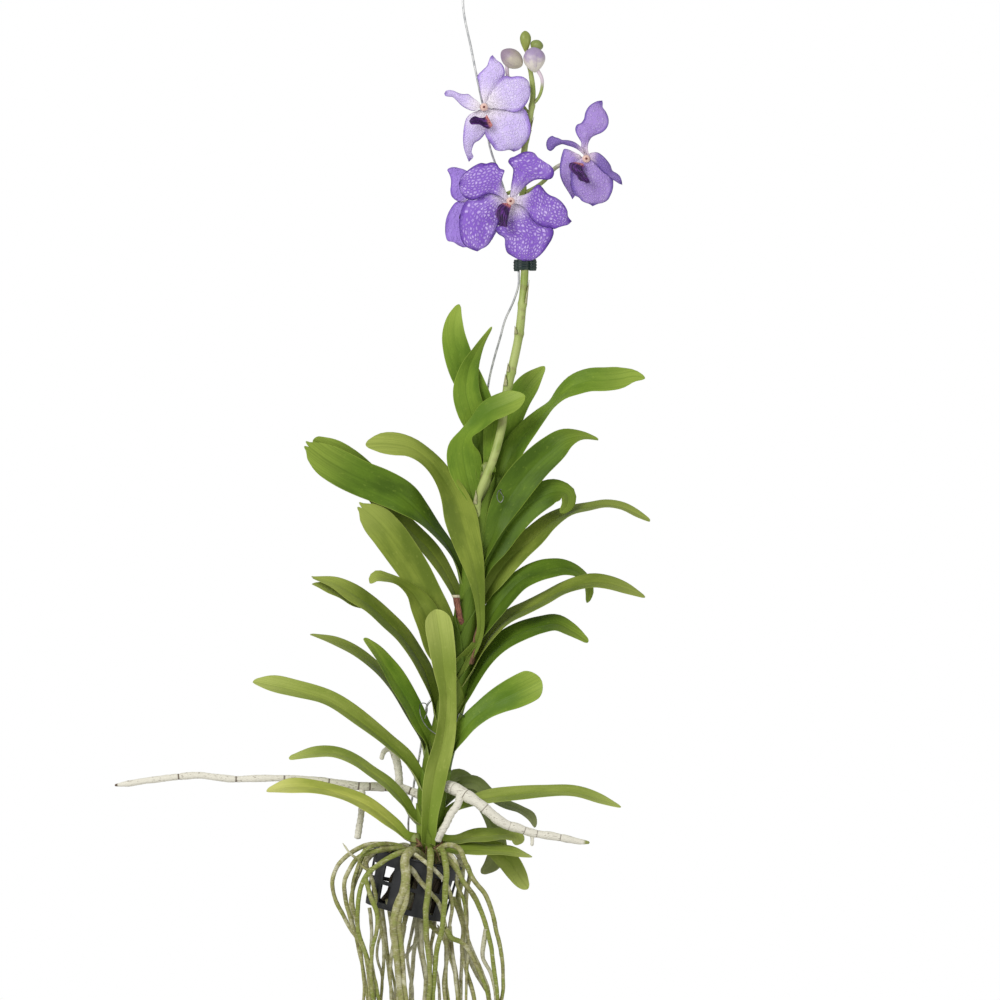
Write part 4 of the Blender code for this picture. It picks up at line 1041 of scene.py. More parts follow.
# Leaves, from the lowest up: name, side, height of the base on the cane, the base's angle from the side
# towards the viewer, then x, y, depth, half width and the turn of the upper face away from the viewer
LEAVES = [
    ("leaf_left_01", -1, 844, 25, [(406, 838, -10, 8, 62), (394, 826, -12, 12, 62),
     (370, 807, -14, 14, 62), (340, 793.5, -15, 14, 64), (312, 787, -16, 14, 64), (288, 787, -16, 13, 60),
     (267, 790.5, -15, 4, 60)]),
    ("leaf_left_02", -1, 828, 10, [(412, 818, -4, 8, 65), (402, 801, -6, 12, 65), (389, 786, -7, 13, 65),
     (372, 773, -7, 13, 65), (356, 761.5, -7, 13, 68), (336, 754, -6, 13, 68), (314, 753.5, -5, 12, 62),
     (289, 758, -4, 4, 60)]),
    ("leaf_left_03", -1, 798, 5, [(415, 776, 0, 10, 62), (405, 761, 1, 14, 64), (385, 742, 1, 15, 64),
     (355, 718.5, 0, 15, 60), (325, 700, -2, 15, 58), (297, 691.5, -3, 15, 55), (268, 685, -4, 12, 55),
     (253, 682, -4, 3, 55)]),
    ("leaf_left_04", -1, 776, -35, [(420, 736, 12, 11, 66), (406, 709, 12, 13, 66), (391, 687, 12, 13, 68),
     (375, 668, 12, 13, 68), (357, 654, 11, 13, 70), (334, 643, 9, 12, 70), (310, 634.5, 8, 3, 68)]),
    ("leaf_left_05", -1, 762, 20, [(427, 741, -8, 11, 55), (418, 723, -9, 14, 52), (408, 702, -9, 15, 52),
     (397, 684, -8, 15, 52), (386, 667, -7, 14, 55), (375, 651, -6, 11, 58), (364, 638, -6, 3, 58)]),
    ("leaf_left_06", -1, 728, 0, [(431, 692, 0, 11, 58), (424, 671, 0, 14, 58), (413, 652, 0, 15, 62),
     (402, 637, -1, 15, 60), (387, 622, -2, 15, 55), (369, 605, -3, 15, 55), (351, 593, -4, 14, 52),
     (335, 584, -4, 10, 55), (317, 579, -4, 4, 58)]),
    ("leaf_left_07", -1, 694, 25, [(443, 668, -9, 10, 40), (437, 645, -11, 14, 15),
     (430, 624, -12, 14, 15), (420, 604, -13, 14, 35), (410, 591, -14, 12, 60), (398, 583, -14, 12, 72),
     (386, 579, -14, 12, 66), (376, 577, -14, 9, 50), (370, 583, -14, 3, 40)]),
    ("leaf_left_08", -1, 662, -5, [(451, 636, 0, 9, 45), (440, 617, 1, 13, 15), (428, 596, 2, 15, 0),
     (415, 572, 2, 16, 0), (401, 551, 1, 17, 0), (387, 532, 0, 17, 0), (374, 518, -1, 15, 0),
     (362, 508, -2, 8, 0)]),
    ("leaf_left_09", -1, 632, -30, [(455, 595, 11, 10, 55), (444, 572, 14, 12, 55), (430, 552, 14, 13, 50),
     (412, 533, 14, 13, 45), (396, 518, 14, 13, 45), (380, 504, 14, 12, 45), (362, 488, 13, 4, 45)]),
    ("leaf_left_10", -1, 600, -12, [(457, 566, 3, 8, 65), (447, 546, 3, 11, 65), (433, 529, 2, 14, 62),
     (418, 512, 0, 16, 45), (400, 496, -2, 17, 12), (380, 486, -3, 18, 2), (360, 478, -4, 18, 0),
     (342, 469, -4, 18, 0), (325, 459, -4, 16, 0), (309, 447, -4, 8, 0)]),
    ("leaf_left_11", -1, 668, 75, [(479, 636, -13, 4, 10), (480, 606, -14, 5, 8), (477, 581, -15, 8, 6),
     (472, 559, -15, 12, 6), (466, 538, -15, 15, 8), (460, 516, -15, 17, 12), (453, 496, -15, 15, 24),
     (444, 480, -15, 13, 36), (434, 466, -15, 13, 44), (422, 455, -15, 13, 46), (410, 448, -15, 13, 40),
     (395, 445, -15, 14, 35), (380, 444, -15, 11, 30), (366, 445, -15, 3, 30)]),
    ("leaf_front", -1, 846, 80, [(428, 826, -12, 9, 10), (431, 798, -15, 12, 10), (436, 768, -17, 13, 14),
     (443, 740, -18, 12, 18), (446, 716, -18, 11, 20), (447, 695, -18, 10, 15), (444, 668, -19, 13, 10),
     (441, 642, -20, 15, 5), (438, 622, -21, 15, 5), (436, 609, -22, 11, 5)]),
    ("leaf_right_01", 1, 845, 40, [(446, 849, -10, 9, 60), (470, 849.5, -13, 13, 66),
     (492, 850.5, -14, 13, 68), (512, 852, -14, 11, 68), (532, 856, -14, 3, 70)]),
    ("leaf_right_02", 1, 843, -30, [(446, 850, 14, 8, 60), (468, 850, 20, 10, 55), (492, 851, 22, 11, 40),
     (507, 861, 20, 11, 10), (516, 873, 18, 10, 0), (523, 884, 16, 7, 0), (528, 890, 15, 3, 0)]),
    ("leaf_right_03", 1, 840, 15, [(455, 841, 1, 9, 62), (470, 838, 1, 13, 64), (490, 836, 0, 14, 64),
     (508, 836, -1, 14, 66), (516, 838, -2, 12, 60), (517, 845, -3, 7, 40)]),
    ("leaf_right_04", 1, 806, -75, [(447, 786, 27, 9, 50), (458, 779, 37, 11, 55), (470, 788, 45, 11, 50),
     (482, 810, 48, 11, 60), (493, 832, 48, 10, 45), (498, 852, 46, 9, 20), (493, 865, 45, 9, 10),
     (481, 876, 44, 3, 10)]),
    ("leaf_right_05", 1, 820, -60, [(452, 797, 19, 8, 50), (462, 785, 22, 11, 55), (474, 785, 26, 11, 50),
     (488, 796, 28, 11, 62), (505, 806, 28, 11, 66), (520, 812, 28, 10, 66), (531, 820, 27, 9, 60),
     (535, 829, 27, 3, 60)]),
    ("leaf_right_06", 1, 836, -12, [(444, 822, -1, 9, 62), (454, 811, 1, 10, 62), (468, 804, 2, 11, 62),
     (486, 799, 2, 14, 62), (512, 795.5, 2, 14, 63), (542, 792.5, 2, 13, 63), (575, 793, 2, 12, 63),
     (600, 800, 2, 9, 62), (621, 807, 2, 2, 62)]),
    ("leaf_right_07", 1, 764, 25, [(459, 738, -11, 10, 45), (470, 722, -13, 11, 36),
     (484, 710, -14, 12, 28), (500, 700, -15, 14, 18), (516, 692, -16, 16, 8), (530, 685, -16, 16, 5),
     (541, 679, -16, 13, 5)]),
    ("leaf_right_08", 1, 724, 5, [(467, 697, -4, 11, 55), (476, 675, -5, 14, 55), (489, 656, -4, 15, 52),
     (507, 640.5, -4, 15, 52), (525, 631, -5, 15, 52), (541, 626, -6, 15, 54), (556, 624, -7, 14, 52),
     (569, 630, -8, 11, 50), (588, 642, -9, 3, 50)]),
    ("leaf_right_09", 1, 690, 12, [(474, 667, -4, 10, 60), (482, 650, -2, 12, 62), (493, 633, -2, 14, 63),
     (508, 619, -1, 14, 63), (527, 609, -4, 14, 64), (548, 598, -6, 14, 62), (563, 590, -8, 14, 62),
     (578, 585, -9, 14, 60), (593, 582.5, -9, 14, 60), (608, 584, -8, 13, 60), (624, 588.5, -7, 11, 60),
     (645, 597, -6, 3, 60)]),
    ("leaf_right_10", 1, 655, 20, [(484, 630, -5, 10, 45), (494, 612, -4, 13, 42), (506, 596, -3, 14, 42),
     (520, 582, -2, 14, 42), (535, 574, -1, 14, 42), (550, 569.5, 2, 13, 42), (564, 568, 8, 11, 46),
     (577, 572, 12, 9, 52), (586, 580, 13, 7, 50), (589, 592, 13, 6, 40), (587, 603, 12, 2, 30)]),
    ("leaf_right_11", 1, 620, -30, [(483, 601, 6, 8, 35), (492, 584, 7, 12, 25), (505, 565, 7, 14, 25),
     (520, 550, 6, 14, 30), (535, 537.5, 5, 14, 38), (552, 522, 4, 14, 55), (570, 512, 3, 14, 68),
     (590, 508, 2, 14, 70), (606, 505.5, 1, 13, 70), (622, 508, 0, 12, 70), (637, 515, -1, 9, 68),
     (650, 521, -2, 3, 68)]),
    ("leaf_right_12", 1, 590, 5, [(486, 568, -3, 8, 30), (497, 546, -3, 13, 15), (510, 525, -4, 15, 12),
     (526, 508, -5, 15, 12), (542, 497, -6, 15, 20), (556, 492, -7, 14, 35), (567, 495, -8, 12, 50),
     (567, 504, -10, 9, 40), (560, 513, -12, 3, 30)]),
    ("leaf_right_13", 1, 560, 30, [(491, 540, -8, 8, 25), (498, 520, -9, 12, 12), (508, 500, -10, 16, 8),
     (521, 481, -11, 17, 5), (537, 463, -12, 16, 5), (552, 450, -13, 15, 12), (566, 440, -14, 13, 30),
     (581, 437, -15, 9, 55), (598, 440, -16, 2, 60)]),
    ("leaf_right_14", 1, 530, -15, [(492, 507, 4.5, 6, 22), (500, 485, 6, 9.5, 24), (508, 463, 8, 13, 34),
     (518, 444, 8, 14, 38), (530, 429, 7, 14, 48), (542, 416, 6, 14, 62), (553, 405, 5, 14, 72),
     (563, 394, 4, 14, 58), (575, 386, 3, 14, 38), (590, 381, 2, 14, 30), (605, 380.5, 1, 14, 30),
     (621, 379, 0, 13, 35), (634, 376.5, -1, 8, 40), (645, 378, -2, 2, 40)]),
    ("leaf_right_15", 1, 501, -90, [(487, 493, 16, 4.5, 20), (490, 482, 20, 6, 18), (496, 468, 22, 9, 15),
     (502, 446, 22, 12, 10), (510, 420, 22, 13, 8), (519, 398, 21, 13, 5), (530, 382, 20, 11, 0),
     (545, 366, 19, 2, 0)]),
    ("leaf_top_01", -1, 528, 40, [(474, 505, -8, 7, 25), (469, 485, -6, 14, 20), (464, 463, -3, 18, 14),
     (463, 446, -5, 14.5, -4), (467, 434, -10, 7.5, -20), (477, 424, -15, 10, -32),
     (490, 412, -20, 15, -38), (505, 405.5, -23, 15, -35), (517, 400.5, -25, 11, -32),
     (525, 396, -26, 3, -30)]),
    ("leaf_top_02", -1, 480, -60, [(480, 455, 5, 8, 10), (476, 430, 5, 10, 5), (471, 412, 4, 14, 5),
     (466, 392, 3, 14, 12), (468, 371, 1, 11, 25), (478, 348, -1, 6, 35), (492, 327, -3, 1.5, 40)]),
    ("leaf_top_03", 1, 472, 20, [(490, 450, 0, 7, 5), (492, 435, 0, 9, 0), (495, 418, -1, 9, 0),
     (499, 402, -1, 3, 0)]),
    ("leaf_top_04", 1, 490, -88, [(488, 462, 13, 10, 5), (484, 425, 14, 14, 5), (478, 402, 13, 15, 5),
     (471, 385, 12, 15, 8), (463, 368, 11, 15, 10), (457, 350, 10, 14, 10), (454, 334, 9, 12, 10),
     (455, 318, 8, 8, 10), (459, 304, 7, 2, 10)]),
]

# Leaves that don't end in a point
TIPS = {
    "leaf_left_06": TipShape.TWO_LOBED,
    "leaf_left_08": TipShape.TWO_LOBED,
    "leaf_left_10": TipShape.TWO_LOBED,
    "leaf_front": TipShape.BLUNT,
    "leaf_right_03": TipShape.BLUNT,
    "leaf_right_07": TipShape.BLUNT,
}

# Which leaves wear which finish; the others are olive. The shaded finish paints the shade these leaves sit in
SHADES = {
    Shade.GOLDEN: ("leaf_left_01",),
    Shade.LIME: ("leaf_left_02", "leaf_left_03", "leaf_right_01", "leaf_right_02", "leaf_right_03",
        "leaf_right_06", "leaf_front"),
    Shade.FRESH: ("leaf_left_05", "leaf_right_07", "leaf_right_14", "leaf_right_15", "leaf_top_01",
        "leaf_top_02", "leaf_top_03", "leaf_top_04"),
    Shade.SHADED: ("leaf_left_10", "leaf_right_08", "leaf_right_10", "leaf_right_12", "leaf_right_13"),
    Shade.GREYED: ("leaf_right_04", "leaf_right_05"),
}

# Second lobes of tips that are split deeply, as leaf rows of their own
LOBES = {
    "leaf_left_10": [(384, 482, 4, 4, 8), (368, 471, 4, 8, 6), (350, 459, 3, 10.5, 4),
        (332, 449, 2, 10.5, 2), (313, 440, 1, 5, 0)],
    "leaf_left_06": [(372, 612, 2, 7, 55), (355, 602, 2, 9, 52), (338, 593, 1, 8, 50),
        (324, 587, 0, 6, 50), (312, 584, 0, 2, 50)],
}

# Leaves that fold along the middle in their own way: degrees at the base and beyond it
FOLDS = {"leaf_front": (50.0, 27.0), "leaf_left_05": (40.0, 16.0), "leaf_left_03": (38.0, 16.0)}


@dataclass
class Cane:
    """The upright cane that carries leaves, roots and flower spike."""

    axis: list[tuple[float, ...]] = field(default_factory=lambda: CANE)
    rings: int = 120
    sides: int = 28
    swell: float = 0.5
    sheath: tuple[tuple[float, ...], ...] = (
        (418, 849, -7, 5), (416, 842, -8, 5.5), (416, 836, -8, 4.5), (417, 832.5, -8, 2)
    )
    sheath_rings: int = 24

    def at(self, height: float) -> tuple[float, float, float]:
        """Returns the x, depth and radius of the cane at a sheet height."""
        rows = np.array(self.axis[::-1], float)
        return tuple(float(np.interp(height, rows[:, 1], rows[:, i])) for i in (0, 2, 3))

    def beside(self, height: float, angle: float, side: int, off: float) -> tuple[float, float, float]:
        """Finds a point beside the cane.

        Args:
            height: The sheet height.
            angle: The angle from the side towards the viewer, in degrees.
            side: -1 for the left and 1 for the right.
            off: How far outside the cane's skin it lies.

        Returns:
            The sheet x, y and depth.
        """
        x, depth, radius = self.at(height)
        way = math.radians(angle)
        reach = radius + off
        return x + side * reach * math.cos(way), height, depth - reach * math.sin(way)

    def build(self) -> None:
        """Builds the cane's own skin with its rings, and the little dry sheath at its foot."""
        shells = Shells()
        for index, (axis, rings) in enumerate(((self.axis, self.rings), (self.sheath, self.sheath_rings))):
            rows = smooth(on_axes(axis), rings)
            angles = np.arange(self.sides) * math.tau / self.sides
            swell = self.swell * np.cos(np.arange(rings) * 0.9)[:, None] * (1 - index)
            ripple = 0.35 * np.cos(3 * angles + 1.0)[None, :]
            radii = rows[:, 3:4] + swell + ripple
            radii[[0, -1]] *= 0.55
            x = rows[:, 0:1] + radii * np.cos(angles)
            y = rows[:, 1:2] + radii * np.sin(angles)
            z = np.repeat(rows[:, 2:3], self.sides, axis=1)
            shells.add_rod(np.stack([x, y, z], axis=2), seed=float(index))
        finish = StalkFinish("cane_skin", (0.13, 0.18, 0.035), (0.26, 0.31, 0.085), (0.13, 0.08, 0.035), 0.7)
        present(shells.piece("stem", finish.material()), "stem", "stem")


@dataclass
class LeafFan:
    """Every strap leaf with the sheath that clasps the cane below it."""

    cane: Cane
    thickness: float = 1.7
    body_rings: int = 52
    tip_rings: int = 14
    columns: tuple[float, ...] = (0.0, 0.04, 0.1, 0.2, 0.34, 0.5, 0.66, 0.8, 0.91, 0.97, 1.0)
    folds: tuple[float, float] = (38.0, 9.0)
    groove: float = 0.35
    keel: float = 0.9
    wave: float = 0.7
    lobe: float = 5.0
    sheath_length: float = 74.0
    sheath_drop: float = 34.0
    sheath_lift: float = 2.2
    sheath_wall: float = 0.9
    sheath_foot: float = 851.0
    sheath_opening: tuple[float, float] = (150.0, 95.0)
    sheath_grid: tuple[int, int] = (14, 25)
    flare: float = 5.0
    least_tip: float = 3.5

    def stations(self, plan: tuple) -> Array:
        """Finds fine rows of a leaf's middle line, closer together at its tip.

        Args:
            plan: The leaf's row in LEAVES. Where its height is 0 the line starts as drawn, off the cane.

        Returns:
            X, Y, Z, half width, turn and the way along, for each row.
        """
        _, side, height, angle, stations = plan
        base = [(*self.cane.beside(height, angle, side, -3), 5, stations[0][4])] if height else []
        rows = smooth(on_axes([*base, *stations]), 500)
        length = float(np.linalg.norm(np.diff(rows[:, :3], axis=0), axis=1).sum())
        tip = max(rows[-1, 3] * 0.9, self.least_tip)
        body = np.linspace(0, length - tip, self.body_rings, endpoint=False)
        end = length - tip + tip * np.sin(np.linspace(0, math.pi / 2, self.tip_rings))
        run = np.r_[body, end]
        fine = np.linspace(0, length, len(rows))
        return np.column_stack([*(np.interp(run, fine, column) for column in rows.T), run])

    def narrowing(self, run: Array, tip: float, shape: TipShape) -> Array:
        """Finds the share of its width that each row keeps as the leaf rounds off.

        Args:
            run: The way along the leaf at each row.
            tip: How long the tip is.
            shape: How the leaf ends.

        Returns:
            One share for each row.
        """
        left = np.clip((run[-1] - run) / tip, 0, 1)
        cap = np.sqrt(np.maximum(1 - (1 - left) ** 2, 0))
        least = {TipShape.POINTED: 0.08, TipShape.BLUNT: 0.2, TipShape.TWO_LOBED: 0.62}[shape]
        return np.maximum(cap, least)

    def blade(self, shells: Shells, plan: tuple, seed: float, grown: float = 0.0) -> None:
        """Adds the blade of one leaf.

        Args:
            shells: What it is added to.
            plan: The leaf's row in LEAVES.
            seed: The leaf's own seed.
            grown: How far up the leaf the first row lies, as a share of its length.
        """
        name, side = plan[:2]
        shape = TIPS.get(name, TipShape.POINTED)
        rows = self.stations(plan)
        centre, width, turn, run = rows[:, :3], rows[:, 3], np.radians(rows[:, 4])[:, None], rows[:, 5]
        along = unit(np.gradient(centre, run, axis=0))
        facing = unit(VIEWER - along * (along @ VIEWER)[:, None])
        inward = unit(side * np.cross(along, [0, 1, 0]))
        normal = np.cos(turn) * facing + np.sin(turn) * inward
        across = np.cross(along, normal)
        share = run / run[-1]
        tip = max(width[-1] * 0.9, self.least_tip)
        width = width * self.narrowing(run, tip, shape)
        width = width + self.flare * (1 - ease(share, 0, 0.16))
        steep, flat = FOLDS.get(name, self.folds)
        fold = np.radians(steep + (flat - steep) * ease(share, 0, 0.3))
        half = np.array(self.columns)
        places = np.r_[-half[:0:-1], half]
        reach = np.abs(places)
        out = width[:, None] * np.sign(places) * reach * np.cos(fold)[:, None]
        rise = width[:, None] * reach**1.2 * np.sin(fold)[:, None]
        ripple = np.sin(math.tau * (share[:, None] * 2.3 + 0.37 * seed + 0.25 * (places > 0)))
        rise = rise + self.wave * ripple * reach**2 * ease(share, 0.15, 0.5)[:, None]
        middle = centre[:, None] + across[:, None] * out[..., None] + normal[:, None] * rise[..., None]
        if shape is TipShape.TWO_LOBED:
            lobes = self.lobe * (1 - (2 * reach - 1) ** 2) * (1 + 0.35 * places)
            push = ease(run, run[-1] - tip * 1.4, run[-1])[:, None] * lobes
            middle = middle + along[:, None] * push[..., None]
        body = self.thickness / 2 * (1 - 0.8 * reach**3) * (1 - 0.45 * share[:, None])
        body[:, [0, -1]] = 0
        dip = self.groove * np.exp(-((reach / 0.06) ** 2)) * (1 - share[:, None] ** 2)
        ridge = self.keel * np.exp(-((reach / 0.07) ** 2)) * (1 - 0.6 * share[:, None])
        front = middle + normal[:, None] * (body - dip)[..., None]
        back = middle - normal[:, None] * (body + ridge)[..., None]
        front[:, [0, -1]] = back[:, [0, -1]] = middle[:, [0, -1]]
        height = grown + (1 - grown) * share[:, None]
        shells.add_sheet(front, back, places, height, width[:, None] * places, run[:, None], seed)

    def sheath(self, shells: Shells, plan: tuple, seed: float) -> None:
        """Adds the sheath that wraps the cane below one leaf.

        Args:
            shells: What it is added to.
            plan: The leaf's row in LEAVES.
            seed: The leaf's own seed.
        """
        _, side, height, angle, _ = plan
        way = math.radians(angle)
        out = np.array([side * math.cos(way), -math.sin(way)])
        beside = np.array([-out[1], out[0]])
        rise = np.linspace(0, 1, self.sheath_grid[0])
        places = np.linspace(-1, 1, self.sheath_grid[1])
        rows = {"front": [], "back": []}
        wide, narrow = self.sheath_opening
        foot = min(height + self.sheath_length, self.sheath_foot)
        for share in rise:
            open_angle = math.radians(wide + (narrow - wide) * share)
            top = np.minimum(height + 5 + self.sheath_drop * np.abs(places) ** 1.3, foot - 2)
            heights = foot * (1 - share) + top * share
            points = {"front": [], "back": []}
            for place, level in zip(places, heights):
                x, depth, radius = self.cane.at(min(level, self.sheath_foot - 3))
                turn = place * open_angle
                ray = out * math.cos(turn) + beside * math.sin(turn)
                keel = 0.7 * share * math.exp(-((place / 0.12) ** 2))
                skin = radius + 0.5 + self.sheath_lift * share + keel
                for key, wall in (("front", self.sheath_wall), ("back", 0.0)):
                    edge = wall if abs(place) < 1 else 0.0
                    reach = skin + edge
                    points[key].append((x + ray[0] * reach, level, depth + ray[1] * reach))
            for key in rows:
                rows[key].append(on_axes(points[key]))
        # Its along share keeps the sheath in the leaf's base colour, with its painted shade
        spot = (places * 0.93, rise[:, None] * 0.06)
        lay = (places * 22, rise[:, None] * self.sheath_length)
        shells.add_sheet(np.array(rows["front"]), np.array(rows["back"]), *spot, *lay, seed)

    def build(self) -> None:
        """Builds every leaf as a piece of its own."""
        finishes = {shade: finish.material() for shade, finish in LEAF_FINISHES.items()}
        shades = {name: shade for shade, names in SHADES.items() for name in names}
        for seed, plan in enumerate(LEAVES):
            name = plan[0]
            shells = Shells()
            self.blade(shells, plan, float(seed))
            if name in LOBES:
                self.blade(shells, ("lobe", plan[1], 0, 0, LOBES[name]), seed + 0.5, 0.7)
            self.sheath(shells, plan, float(seed))
            finish = finishes[shades.get(name, Shade.OLIVE)]
            present(shells.piece(name, finish), "leaf", name)


# Flowers, buds and their spike


@dataclass(frozen=True)
class PetalPlan:
    """One petal, sepal or lip: its two edges from the base to the shared tip, and how it leans and curls."""

    left: tuple[tuple[float, float], ...]
    right: tuple[tuple[float, float], ...]
    near: float
    far: float
    cup: float = 2.0
    ruffle: float = 1.2
    waves: float = 2.5
    thickness: float = 0.9


@dataclass(frozen=True)
class FlowerPlan:
    """A whole flower: its column's place, its pedicel back to the spike, its sepals, petals and lip."""

    column: tuple[float, float, float]
    pedicel: tuple[tuple[float, float, float], ...]
    sepals: tuple[PetalPlan, ...]
    petals: dict[str, PetalPlan]
    lip: PetalPlan


